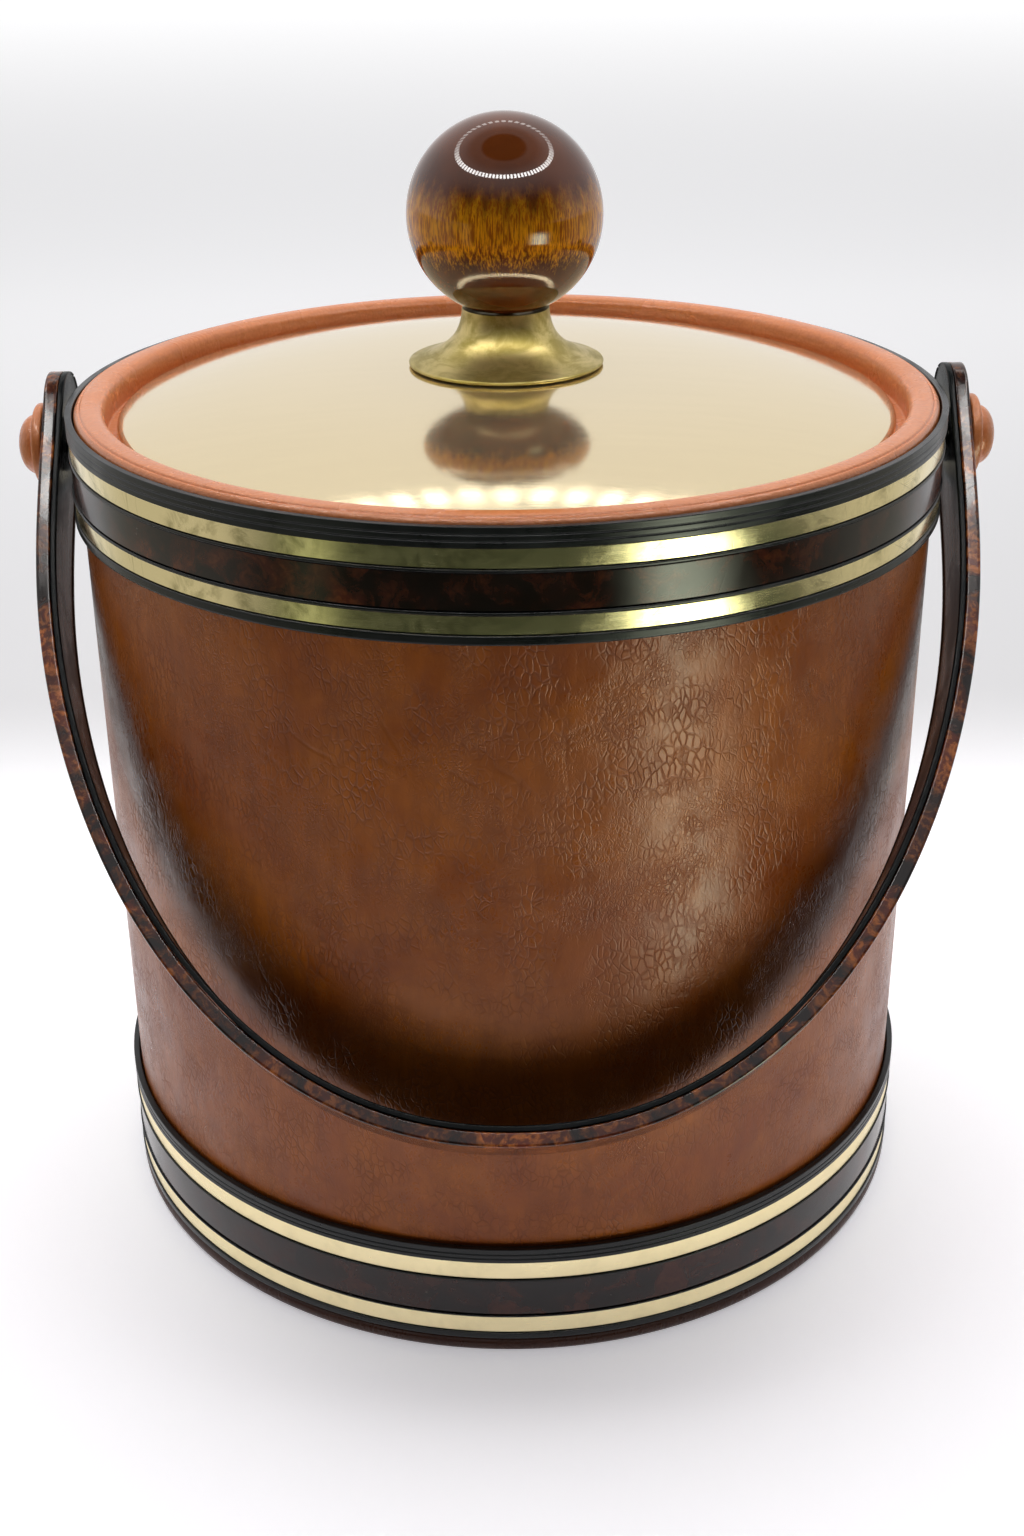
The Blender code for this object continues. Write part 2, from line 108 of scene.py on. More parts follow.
class BucketSizes(bpy.types.PropertyGroup):
    """Small shapes of the bucket's edges, ridges and grain."""
    edge: length("Edge", "Rounding of the moulded edges", 0.35)
    strip_edge: length("Strip edge", "Rounding of the trim strips' edges", 0.12)
    strip_crown: length("Strip crown", "How far a trim strip bulges at its middle", 0.05)
    lip_groove: length("Lip groove", "Depth of the fine grooves in the bands' black lips", 0.18)
    rim_groove: length("Rim groove", "Depth of the groove near the rim's outer edge", 0.30)
    crease_size: length("Crease size", "Spacing of the vinyl's fine creases", 1.35)
    wrinkle_size: length("Wrinkle size", "Spacing of the vinyl's long wrinkles", 13.0)
    grain_size: length("Grain size", "Spacing of the tan plastic's leather grain", 0.8)
    patch_size: length("Patch size", "Spacing of the tortoise patches", 9.0)
    fibre_size: length("Fibre size", "Spacing of the knob's fibres", 0.34)
    strap_edge: length("Strap edge", "Rounding of the bail's long edges", 0.75)
    lining_edge: length("Lining edge", "Rounding of the lining's long edges", 0.5)


class BucketColours(bpy.types.PropertyGroup):
    """Colours of the bucket's finishes."""
    vinyl_light: colour("Vinyl light", "Rubbed parts of the brown vinyl", 172, 94, 22)
    vinyl_dark: colour("Vinyl dark", "Antiqued parts of the brown vinyl", 138, 64, 12)
    vinyl_crease: colour("Vinyl crease", "Dark wash in the creases", 84, 36, 14)
    # Painted shade: the near-black colour of the rolled hem stands in for the shadow by the floor.
    hem_painted_shade: colour("Vinyl hem", "Painted shade on the rolled hem at the foot", 46, 22, 20)
    tan: colour("Tan", "Rim, liner and buttons", 212, 130, 78)
    tan_dark: colour("Tan dark", "Grain of the rim, liner and buttons", 184, 102, 54)
    black: colour("Black", "Bands, washers and lining", 16, 19, 20)
    gold: colour("Gold", "Trim strips", 250, 234, 186)
    gold_patina: colour("Gold patina", "Tarnish on the trim strips", 128, 122, 74)
    lid_gold: colour("Lid gold", "Anodised lid", 231, 213, 174)
    brass: colour("Brass", "Ferrule", 206, 186, 124)
    brass_patina: colour("Brass patina", "Tarnish on the ferrule", 158, 142, 76)
    amber: colour("Amber", "Fibrous band of the knob", 246, 172, 18)
    amber_dark: colour("Amber dark", "Dark fibres of the knob", 168, 92, 8)
    knob_brown: colour("Knob brown", "Top and foot of the knob", 78, 36, 10)
    tortoise_dark: colour("Tortoise dark", "Dark mottling", 24, 12, 9)
    tortoise_red: colour("Tortoise red", "Red-brown mottling", 112, 46, 24)
    tortoise_amber: colour("Tortoise amber", "Light patches of the bail", 204, 116, 52)


class StageSizes(bpy.types.PropertyGroup):
    """Camera and lights."""
    lens: bpy.props.FloatProperty(name="Lens", description="Focal length", default=45.29, min=1.0,
                                  subtype="DISTANCE_CAMERA")
    away: length("Away", "Level distance from the axis to the camera", 418.0)
    height: length("Height", "Height of the camera above the floor", 296.74)
    swing: angle("Swing", "How far the camera stands towards -X from the front", 0.15)
    aim: angle("Aim", "How far the camera looks aside of the axis", 0.06)
    pitch: angle("Pitch", "How far the camera looks down", 25.40)
    roll: angle("Roll", "How far the camera leans", -0.551)
    shift: bpy.props.FloatProperty(name="Shift", description="Vertical shift of the lens, as a "
                                   "share of the picture's height", default=-0.0084)


# --- surfaces ----------------------------------------------------------------------------------
def eased(points, ease, steps=6, hold=0.06 * MM):
    """Closed outline with every corner turned into a smooth bend.

    At a corner P with unit directions a in and b out, and t = its easing, the bend runs from
    A = P - t a to B = P + t b as (1-s)^2 A + 2 s (1-s) P + s^2 B. A holding point just outside each
    end keeps the shading of the flat parts flat.
    """
    points = np.asarray(points, dtype=float)
    ease = np.broadcast_to(np.asarray(ease, dtype=float), len(points))[:, None]
    into = points - np.roll(points, 1, axis=0)
    out = np.roll(points, -1, axis=0) - points
    into_length = np.linalg.norm(into, axis=1, keepdims=True)
    out_length = np.linalg.norm(out, axis=1, keepdims=True)
    into, out = into / into_length, out / out_length
    reach = np.minimum(ease, 0.42 * np.minimum(into_length, out_length))
    rest = np.where(reach > 0, np.minimum(hold, 0.05 * np.minimum(into_length, out_length)), 0)
    start, end = points - into * reach, points + out * reach
    s = np.linspace(0.0, 1.0, steps)[None, :, None]
    bend = (1 - s) ** 2 * start[:, None] + 2 * s * (1 - s) * points[:, None] + s ** 2 * end[:, None]
    outline = np.concatenate([(start - into * rest)[:, None], bend, (end + out * rest)[:, None]], axis=1)
    outline = outline.reshape(-1, 2)
    apart = np.linalg.norm(outline - np.roll(outline, 1, axis=0), axis=1) > 1e-8
    return outline[apart]


def put_mesh(name, vertices, faces, uvs):
    """Make a smooth mesh object from arrays, turning its faces over if they face inwards."""
    corners = [vertices[faces[:, k]] for k in range(faces.shape[1])]
    volume = sum(np.einsum("ij,ij->", corners[0], np.cross(corners[k], corners[k + 1])) for k in (1, 2))
    if volume < 0:
        faces, uvs = faces[:, ::-1], uvs[:, ::-1]
    is_quad = (faces != np.roll(faces, 1, axis=1)).all(axis=1)
    loose = faces[~is_quad]
    keep = loose != np.roll(loose, 1, axis=1)
    triangles = loose[keep].reshape(-1, 3)
    mesh = bpy.data.meshes.new(name)
    mesh.from_pydata(vertices.tolist(), [], faces[is_quad].tolist() + triangles.tolist())
    layer = mesh.uv_layers.new(name="surface")
    flat = np.concatenate([uvs[is_quad].reshape(-1, 2), uvs[~is_quad][keep].reshape(-1, 2)])
    layer.data.foreach_set("uv", flat.astype(np.float32).ravel())
    mesh.shade_smooth()
    mesh.validate()
    piece = bpy.data.objects.new(name, mesh)
    bpy.context.scene.collection.objects.link(piece)
    return piece


def cells(grid):
    """Corners of every cell of a grid, in order round the cell."""
    return np.stack([grid[:-1, :-1], grid[:-1, 1:], grid[1:, 1:], grid[1:, :-1]], axis=2)


def revolved(name, outline, segments=256, side=0, height=0.0):
    """Surface of revolution (u, v) -> (r(v) cos u, r(v) sin u, z(v)) of a closed outline (r, z).

    u goes once round from the back and v along the outline. Points on the axis become one vertex
    each. The surface map is (u times the largest radius, length along the outline), in metres.
    With side = 1 or -1 the axis is laid along +X or -X at a height instead.
    """
    outline = np.asarray(outline, dtype=float)
    radii, heights = outline.T
    count = len(outline)
    around = BACK + np.linspace(0.0, TURN, segments, endpoint=False)
    on_axis = radii < 1e-7
    sizes = np.where(on_axis, 1, segments)
    first = np.concatenate([[0], np.cumsum(sizes)[:-1]])
    index = first[:, None] + np.where(on_axis[:, None], 0, np.arange(segments)[None, :])
    grid = np.stack([radii[:, None] * np.cos(around), radii[:, None] * np.sin(around),
                     np.broadcast_to(heights[:, None], (count, segments))], axis=-1)
    vertices = np.zeros((int(sizes.sum()), 3))
    vertices[index.ravel()] = grid.reshape(-1, 3)

    index = np.concatenate([index, index[:, :1]], axis=1)
    index = np.concatenate([index, index[:1]], axis=0)
    steps = np.linalg.norm(np.roll(outline, -1, axis=0) - outline, axis=1)
    along = np.concatenate([[0.0], np.cumsum(steps)])
    across = np.linspace(0.0, TURN, segments + 1) * radii.max()
    table = np.stack(np.broadcast_arrays(across[None, :], along[:, None]), axis=-1)
    rows = ~(on_axis & np.roll(on_axis, -1))
    faces, uvs = cells(index)[rows].reshape(-1, 4), cells(table)[rows].reshape(-1, 4, 2)

    if side:
        x, y, z = vertices.T
        vertices = np.stack([side * z, y, height - side * x], axis=1)
    return put_mesh(name, vertices, faces, uvs)


def swept(name, path, outward, widths, section, lean, pivot_height):
    """Strip (s, t) -> path(s) + out(t) normal(s) + across(t) width(s) Y, leaned about the pivot axis.

    The path lies in the XZ plane of the hanging bail, the section is a closed outline of (across,
    out), and both ends are closed by a fan. The surface map is (length along, length around).
    """
    stations, around = len(path), len(section)
    across, out = section.T
    grid = np.zeros((stations, around, 3))
    grid[..., 0] = path[:, :1] + outward[:, :1] * out
    grid[..., 1] = widths[:, None] * across
    grid[..., 2] = path[:, 1:] + outward[:, 1:] * out
    ends = grid[[0, -1]].mean(axis=1)
    vertices = np.concatenate([grid.reshape(-1, 3), ends])
    x, y, z = vertices.T
    vertices = np.stack([x, y * math.cos(lean) + z * math.sin(lean),
                         pivot_height - y * math.sin(lean) + z * math.cos(lean)], axis=1)

    index = np.arange(stations * around).reshape(stations, around)
    index = np.concatenate([index, index[:, :1]], axis=1)
    near, far = stations * around, stations * around + 1
    near_cap = np.stack([np.full(around, near), index[0, 1:], index[0, :-1], index[0, :-1]], axis=-1)
    far_cap = np.stack([np.full(around, far), index[-1, :-1], index[-1, 1:], index[-1, 1:]], axis=-1)
    faces = np.concatenate([cells(index).reshape(-1, 4), near_cap, far_cap])

    along = np.concatenate([[0], np.cumsum(np.linalg.norm(np.diff(path, axis=0), axis=1))])
    steps = np.linalg.norm(np.roll(section, -1, axis=0) - section, axis=1)
    girth = np.concatenate([[0], np.cumsum(steps)])
    table = np.stack(np.broadcast_arrays(along[:, None], girth[None, :]), axis=-1)
    uvs = np.concatenate([cells(table).reshape(-1, 4, 2), np.zeros((2 * around, 4, 2))])
    return put_mesh(name, vertices, faces, uvs)


# --- node helpers ------------------------------------------------------------------------------
def add(tree, kind, inputs=None, **settings):
    """Add a node, set its properties, then link or set its inputs by name or number."""
    made = tree.nodes.new(kind)
    for name, value in settings.items():
        setattr(made, name, value)
    for name, value in (inputs or {}).items():
        socket = made.inputs[name]
        if isinstance(value, bpy.types.NodeSocket):
            tree.links.new(value, socket)
        else:
            socket.default_value = value
    return made


def plug(tree, inputs, **values):
    """Link values to inputs, named with underscores for spaces."""
    for name, value in values.items():
        tree.links.new(value, inputs[name.replace("_", " ")])


def sums(tree, operation, first, second=0.0):
    """Result of a Math node."""
    return add(tree, "ShaderNodeMath", {0: first, 1: second}, operation=operation).outputs[0]


def times(tree, first, second):
    """Product of two values."""
    return sums(tree, "MULTIPLY", first, second)


def spread(tree, value, from_low, from_high, to_low=0.0, to_high=1.0):
    """Smooth step of a value between two bounds, given new bounds."""
    return add(tree, "ShaderNodeMapRange",
               {"Value": value, "From Min": from_low, "From Max": from_high, "To Min": to_low,
                "To Max": to_high}, interpolation_type="SMOOTHSTEP").outputs[0]


def blended(tree, share, first, second):
    """Mix of two colours, each a socket or an RGB triple."""
    fill = [value if isinstance(value, bpy.types.NodeSocket) else (*value, 1.0)
            for value in (first, second)]
    return add(tree, "ShaderNodeMix", {0: share, 6: fill[0], 7: fill[1]}, data_type="RGBA").outputs[2]


def noise(tree, place, scale, detail, roughness=0.5, distortion=0.0):
    """Value of a Noise texture."""
    return add(tree, "ShaderNodeTexNoise",
               {"Vector": place, "Scale": scale, "Detail": detail, "Roughness": roughness,
                "Distortion": distortion}).outputs["Fac"]


def stretched(tree, place, factors, turn=0.0):
    """Position turned about Z and then multiplied along each axis."""
    if turn:
        place = add(tree, "ShaderNodeVectorRotate", {"Vector": place, "Angle": turn},
                    rotation_type="Z_AXIS").outputs[0]
    return add(tree, "ShaderNodeVectorMath", {0: place, 1: factors}, operation="MULTIPLY").outputs[0]


def warped(tree, place, scale, amount):
    """Position pushed about by a Noise texture's colour."""
    push = add(tree, "ShaderNodeTexNoise", {"Vector": place, "Scale": scale, "Detail": 2.0})
    centred = add(tree, "ShaderNodeVectorMath", {0: push.outputs["Color"], 1: (0.5, 0.5, 0.5)},
                  operation="SUBTRACT").outputs[0]
    scaled = add(tree, "ShaderNodeVectorMath", {0: centred, 3: amount}, operation="SCALE").outputs[0]
    return add(tree, "ShaderNodeVectorMath", {0: place, 1: scaled}, operation="ADD").outputs[0]


def cracks(tree, place, scale, width):
    """Mask that is 1 on the borders of Voronoi cells and fades to 0 over a width."""
    border = add(tree, "ShaderNodeTexVoronoi", {"Vector": place, "Scale": scale},
                 feature="DISTANCE_TO_EDGE").outputs["Distance"]
    return spread(tree, border, 0.0, width, 1.0, 0.0)


def raised(tree, height, strength, distance):
    """Normal of a Bump node over a height."""
    inputs = {"Height": height, "Strength": strength, "Distance": distance}
    return add(tree, "ShaderNodeBump", inputs).outputs[0]


def new_group(name, inputs, outputs):
    """Empty shader node group with a Vector input and named float inputs and outputs."""
    tree = bpy.data.node_groups.new(name, "ShaderNodeTree")
    tree.interface.new_socket("Vector", in_out="INPUT", socket_type="NodeSocketVector")
    for label, default in inputs.items():
        socket = tree.interface.new_socket(label, in_out="INPUT", socket_type="NodeSocketFloat")
        socket.default_value = default
    for label in outputs:
        tree.interface.new_socket(label, in_out="OUTPUT", socket_type="NodeSocketFloat")
    return tree, tree.nodes.new("NodeGroupInput").outputs, tree.nodes.new("NodeGroupOutput").inputs


# --- shared effects ----------------------------------------------------------------------------
def make_crease_group():
    """Creased vinyl: fine irregular cells, a few long wrinkles and a fine grain."""
    tree, given, made = new_group("creased_vinyl", {"Crease Scale": 590.0, "Wrinkle Scale": 77.0},
                                  ("Height", "Creases", "Wrinkles"))
    loose = warped(tree, given["Vector"], 210.0, 0.0022)
    upright = stretched(tree, loose, (1.0, 0.5, 1.0), math.radians(6))
    fine = cracks(tree, upright, given["Crease Scale"], 0.16)
    smaller = times(tree, given["Crease Scale"], 1.9)
    finer = cracks(tree, stretched(tree, loose, (1.0, 0.6, 1.0), math.radians(-14)), smaller, 0.2)
    here = spread(tree, noise(tree, given["Vector"], 95.0, 3.0), 0.36, 0.62, 0.12, 1.0)
    there = spread(tree, noise(tree, given["Vector"], 61.0, 3.0), 0.42, 0.66, 0.0, 0.8)
    creases = sums(tree, "MAXIMUM", times(tree, fine, here),
                   times(tree, finer, there))

    wandering = warped(tree, given["Vector"], 38.0, 0.016)
    slanted = stretched(tree, wandering, (1.0, 0.42, 1.0), math.radians(38))
    long_lines = cracks(tree, slanted, given["Wrinkle Scale"], 0.05)
    rare = spread(tree, noise(tree, given["Vector"], 34.0, 3.0), 0.52, 0.70, 0.0, 0.55)
    wrinkles = times(tree, long_lines, rare)

    grain = noise(tree, given["Vector"], 2600.0, 3.0, 0.6)
    swell = noise(tree, stretched(tree, given["Vector"], (1.0, 0.55, 1.0)), 260.0, 3.0, 0.55)
    height = sums(tree, "SUBTRACT", times(tree, swell, 0.9),
                  times(tree, creases, 0.55))
    height = sums(tree, "SUBTRACT", height, times(tree, wrinkles, 0.9))
    height = sums(tree, "ADD", height, times(tree, grain, 0.16))
    plug(tree, made, Height=height, Creases=creases, Wrinkles=wrinkles)


def make_grain_group():
    """Leather-like grain of moulded plastic: small pebbled cells with soft borders."""
    tree, given, made = new_group("pebbled_grain", {"Grain Scale": 1250.0}, ("Height", "Valleys"))
    loose = warped(tree, given["Vector"], 500.0, 0.0009)
    cells = add(tree, "ShaderNodeTexVoronoi",
                {"Vector": loose, "Scale": given["Grain Scale"], "Smoothness": 0.6},
                feature="SMOOTH_F1").outputs["Distance"]
    valleys = spread(tree, cells, 0.25, 0.75)
    lumps = noise(tree, given["Vector"], 420.0, 3.0)
    height = sums(tree, "SUBTRACT", times(tree, lumps, 0.7), valleys)
    plug(tree, made, Height=height, Valleys=valleys)


def make_mottle_group():
    """Tortoise mottling: torn patches, flecks inside them and a slow drift of tone."""
    tree, given, made = new_group("tortoise_mottle", {"Patch Scale": 110.0},
                                  ("Patches", "Flecks", "Drift"))
    torn = warped(tree, given["Vector"], 160.0, 0.006)
    patches = noise(tree, torn, given["Patch Scale"], 5.0, 0.62, 0.6)
    fleck_scale = times(tree, given["Patch Scale"], 6.0)
    flecks = noise(tree, torn, fleck_scale, 3.0, 0.6)
    drift = noise(tree, given["Vector"], 32.0, 2.0)
    plug(tree, made, Patches=spread(tree, patches, 0.40, 0.66),
         Flecks=spread(tree, flecks, 0.42, 0.64), Drift=spread(tree, drift, 0.35, 0.65))


def make_brushed_group():
    """Brushed metal: fine lines along the first axis of the position, with uneven depth."""
    tree, given, made = new_group("brushed_lines", {"Line Scale": 5200.0, "Length Share": 0.012},
                                  ("Lines", "Bands"))
    drawn = add(tree, "ShaderNodeCombineXYZ", {"X": given["Length Share"], "Y": 1.0, "Z": 1.0})
    along = add(tree, "ShaderNodeVectorMath", {0: given["Vector"], 1: drawn.outputs[0]},
                operation="MULTIPLY").outputs[0]
    lines = noise(tree, along, given["Line Scale"], 2.0, 0.6)
    bands = noise(tree, along, times(tree, given["Line Scale"], 0.11), 3.0, 0.6)
    plug(tree, made, Lines=spread(tree, lines, 0.3, 0.7), Bands=spread(tree, bands, 0.3, 0.7))


def make_wear_group():
    """Handling marks: sparse hairline scratches, cloudy smudges and small specks."""
    tree, given, made = new_group("handling_marks", {"Mark Scale": 60.0},
                                  ("Scratches", "Smudges", "Specks"))
    scratches = None
    for turn, reach in ((0.35, 0.10), (1.25, 0.14), (2.30, 0.12)):
        drawn = stretched(tree, warped(tree, given["Vector"], 25.0, 0.008), (reach, 1.0, 1.0), turn)
        lines = cracks(tree, drawn, given["Mark Scale"], 0.012)
        rare = spread(tree, noise(tree, stretched(tree, given["Vector"], (1.0, 1.0, 1.0), turn),
                                  90.0, 2.0), 0.56, 0.66)
        lines = times(tree, lines, rare)
        scratches = lines if scratches is None else sums(tree, "MAXIMUM", scratches, lines)
    smudges = spread(tree, noise(tree, given["Vector"], 48.0, 4.0, 0.6, 0.4), 0.38, 0.68)
    points = add(tree, "ShaderNodeTexVoronoi", {"Vector": given["Vector"], "Scale": 420.0})
    chosen = spread(tree, points.outputs["Color"], 0.80, 0.86)
    specks = times(tree, spread(tree, points.outputs["Distance"], 0.05, 0.13, 1.0, 0.0), chosen)
    plug(tree, made, Scratches=scratches, Smudges=smudges, Specks=specks)


class Finish:
    """A material built up from a base colour tinted in steps, a roughness and a relief."""

    def __init__(self, name, roughness, mark_scale=None, metallic=0.0, coat=0.0, coat_roughness=0.03,
                 specular=0.5, space="Object"):
        """Start the material, with handling marks of one scale."""
        self.material = bpy.data.materials.new(name)
        self.material.use_nodes = True
        self.tree = self.material.node_tree
        self.shader = self.tree.nodes["Principled BSDF"]
        constants = {"Roughness": roughness, "Metallic": metallic, "Coat Weight": coat,
                     "Coat Roughness": coat_roughness, "Specular IOR Level": specular}
        for socket, value in constants.items():
            self.shader.inputs[socket].default_value = value
        self.places = self.tree.nodes.new("ShaderNodeTexCoord").outputs
        self.place = self.places[space]
        self.base = None
        if mark_scale:
            self.marks = self.effect("handling_marks", Mark_Scale=mark_scale)

    def effect(self, group, **values):
        """Outputs of a shared effect, its inputs named with underscores for spaces."""
        made = add(self.tree, "ShaderNodeGroup", node_tree=bpy.data.node_groups[group])
        self.tree.links.new(self.place, made.inputs["Vector"])
        for name, value in values.items():
            made.inputs[name.replace("_", " ")].default_value = value
        return made.outputs

    def clouds(self, low_end, high_end, scale, *how, stretch=None):
        """Smooth step of a noise, whose position may be stretched."""
        place = stretched(self.tree, self.place, stretch) if stretch else self.place
        return spread(self.tree, noise(self.tree, place, scale, *how), low_end, high_end)

    def start(self, mask, first, second, amount=None):
        """Set the base to a mix of two colours by a mask, or by an amount of it."""
        share = mask if amount is None else times(self.tree, mask, amount)
        self.base = blended(self.tree, share, first, second)

    def tint(self, mask, second, amount=None):
        """Mix a colour into the base by a mask, or by an amount of it."""
        self.start(mask, self.base, second, amount)

    def roughen(self, mask, smooth, rough, lines=None, amount=0.0):
        """Roughness between two values by a mask, and higher by an amount along some lines."""
        value = spread(self.tree, mask, 0.0, 1.0, smooth, rough)
        if lines is not None:
            value = sums(self.tree, "ADD", value, times(self.tree, lines, amount))
        plug(self.tree, self.shader.inputs, Roughness=value)

    def relief(self, height, strength, distance, less=None):
        """Bump over a height, less another one where it is given; then the finished material."""
        if less is not None:
            height = sums(self.tree, "SUBTRACT", height, less)
        plug(self.tree, self.shader.inputs, Base_Color=self.base,
             Normal=raised(self.tree, height, strength, distance))
        return self.material


# --- finishes ----------------------------------------------------------------------------------
def vinyl_finish(sizes, colours):
    """Glossy antiqued vinyl: blotchy brown, dark wash in the creases, gloss broken by them, painted shade
    on the hem.
    """
    skin = Finish("antique_vinyl", 0.3, 55.0, specular=0.36, space="UV")
    leather = skin.effect("creased_vinyl", Crease_Scale=1 / sizes.crease_size,
                          Wrinkle_Scale=1 / sizes.wrinkle_size)
    skin.start(skin.clouds(0.25, 0.75, 30.0, 5.0, 0.65, 0.5), colours.vinyl_dark, colours.vinyl_light)
    streaks = skin.clouds(0.3, 0.7, 330.0, 3.0, stretch=(1.0, 0.22, 1.0))
    for mask, amount in ((streaks, 0.22), (leather["Creases"], 0.30), (leather["Wrinkles"], 0.3)):
        skin.tint(mask, colours.vinyl_crease, amount)
    # Painted shade: below 3.0 mm, fading out by 3.7 mm, the vinyl is mixed most of the way to the dark hem
    # colour.
    height = add(skin.tree, "ShaderNodeSeparateXYZ", {0: skin.places["Object"]}).outputs["Z"]
    skin.tint(spread(skin.tree, height, 3.0 * MM, 3.7 * MM, 0.85, 0.0), colours.hem_painted_shade)
    skin.roughen(skin.marks["Smudges"], 0.27, 0.34, leather["Creases"], 0.16)
    return skin.relief(leather["Height"], 0.8, 0.00016)


def tan_finish(sizes, colours):
    """Satin tan plastic with pebbled grain, the grain's valleys a little darker."""
    skin = Finish("tan_moulding", 0.3, 70.0)
    grain = skin.effect("pebbled_grain", Grain_Scale=1 / sizes.grain_size)
    skin.start(skin.clouds(0.3, 0.7, 30.0, 4.0, 0.6), colours.tan, colours.tan_dark, 0.35)
    skin.tint(grain["Valleys"], colours.tan_dark, 0.25)
    skin.tint(skin.marks["Scratches"], colours.tan_dark, 0.3)
    skin.roughen(skin.marks["Smudges"], 0.24, 0.34)
    return skin.relief(grain["Height"], 0.35, 0.0001)


def black_finish(name, colours, shine):
    """Extruded black plastic: fine drawn lines, dull smudges, a few pale specks of dust."""
    skin = Finish(name, 0.25, 80.0, specular=shine, space="UV")
    drawn = skin.effect("brushed_lines", Line_Scale=2600.0, Length_Share=0.01)
    skin.start(skin.marks["Specks"], colours.black, (0.22, 0.21, 0.20), 0.25)
    skin.tint(skin.marks["Smudges"], (0.05, 0.055, 0.06), 0.12)
    skin.roughen(skin.marks["Smudges"], 0.22, 0.36, drawn["Lines"], 0.06)
    return skin.relief(drawn["Bands"], 0.25, 0.00005)


def gold_strip_finish(name, colours, shine, tarnish_and_painted_light):
    """Metallised strip: mirror-like brass with patina clouds, brushing and scratches."""
    skin = Finish(name, shine, 120.0, metallic=1.0, space="UV")
    drawn = skin.effect("brushed_lines", Line_Scale=4200.0, Length_Share=0.02)
    cloudy = skin.clouds(0.42, 0.66, 120.0, 5.0, 0.65, 0.8)
    # The amount of patina is real tarnish; where it is small, on the lower strips, it is also painted
    # light.
    skin.start(times(skin.tree, cloudy, skin.marks["Smudges"]), colours.gold, colours.gold_patina, tarnish_and_painted_light)
    skin.tint(skin.marks["Scratches"], colours.gold_patina, 0.35 * tarnish_and_painted_light)
    skin.roughen(skin.marks["Smudges"], shine, shine + 0.1, drawn["Lines"], 0.05)
    return skin.relief(times(skin.tree, drawn["Lines"], 0.25), 0.12, 0.00004, skin.marks["Scratches"])


def lid_finish(colours):
    """Satin anodised metal: fine straight brushing, soft smudges, hairline scratches."""
    skin = Finish("gold_anodised_lid", 0.12, 46.0, metallic=0.9)
    drawn = skin.effect("brushed_lines", Line_Scale=3600.0, Length_Share=0.02)
    shade = tuple(0.72 * value for value in colours.lid_gold)
    bright = tuple(min(1.0, 1.04 * value) for value in colours.lid_gold)
    skin.start(drawn["Bands"], bright, colours.lid_gold, 0.35)
    skin.tint(skin.marks["Scratches"], bright, 0.35)
    skin.tint(skin.marks["Specks"], shade, 0.4)
    skin.roughen(skin.marks["Smudges"], 0.06, 0.10, drawn["Lines"], 0.04)
    return skin.relief(times(skin.tree, drawn["Lines"], 0.6), 0.10, 0.00003,
                       times(skin.tree, skin.marks["Scratches"], 0.8))


def ferrule_finish(colours):
    """Turned brass with a green-brown patina, turning lines round it and bright worn places."""
    skin = Finish("patinated_brass", 0.25, 150.0, metallic=1.0, space="UV")
    turning = skin.effect("brushed_lines", Line_Scale=3000.0, Length_Share=0.03)
    cloudy = skin.clouds(0.34, 0.66, 210.0, 5.0, 0.65, 0.5, stretch=(0.45, 1.0, 1.0))
    skin.start(cloudy, colours.brass, colours.brass_patina)
    skin.tint(turning["Bands"], colours.brass_patina, 0.3)
    skin.tint(skin.marks["Scratches"], colours.brass, 0.3)
    skin.roughen(cloudy, 0.36, 0.46, turning["Lines"], 0.05)
    return skin.relief(times(skin.tree, turning["Lines"], 0.5), 0.15, 0.00004, skin.marks["Scratches"])


def tiger_eye_finish(sizes, colours, centre, radius):
    """Lacquered tiger-eye: an amber band with fuzzy, fibrous edges between dark brown caps."""
    skin = Finish("tiger_eye", 0.18, 150.0, coat=1.0, coat_roughness=0.035, specular=0.0)
    tree = skin.tree
    fibre_place = stretched(tree, skin.place, (1.0, 1.0, 0.075))
    fibres = noise(tree, fibre_place, 1 / sizes.fibre_size, 3.0, 0.6)
    tufts = noise(tree, fibre_place, 0.22 / sizes.fibre_size, 3.0, 0.55)
    height = add(tree, "ShaderNodeSeparateXYZ", {0: skin.place}).outputs["Z"]
    ragged = sums(tree, "DIVIDE", sums(tree, "SUBTRACT", height, centre), radius)
    for jitter, amount in ((fibres, 0.42), (tufts, 0.45)):
        ragged = sums(tree, "ADD", ragged, times(tree, sums(tree, "SUBTRACT", jitter, 0.5), amount))
    band = times(tree, spread(tree, ragged, -0.40, -0.14), spread(tree, ragged, 0.04, 0.44, 1.0, 0.0))
    amber = blended(tree, spread(tree, fibres, 0.40, 0.60), colours.amber_dark, colours.amber)
    lighter = tuple(1.9 * value for value in colours.knob_brown)
    skin.start(skin.clouds(0.3, 0.7, 60.0, 4.0), colours.knob_brown, lighter, 0.8)
    skin.tint(band, amber)
    skin.roughen(skin.marks["Smudges"], 0.14, 0.24)
    ripple = sums(tree, "ADD", noise(tree, skin.place, 140.0, 2.0),
                  times(tree, skin.marks["Scratches"], -0.05))
    return skin.relief(ripple, 0.10, 0.0002)


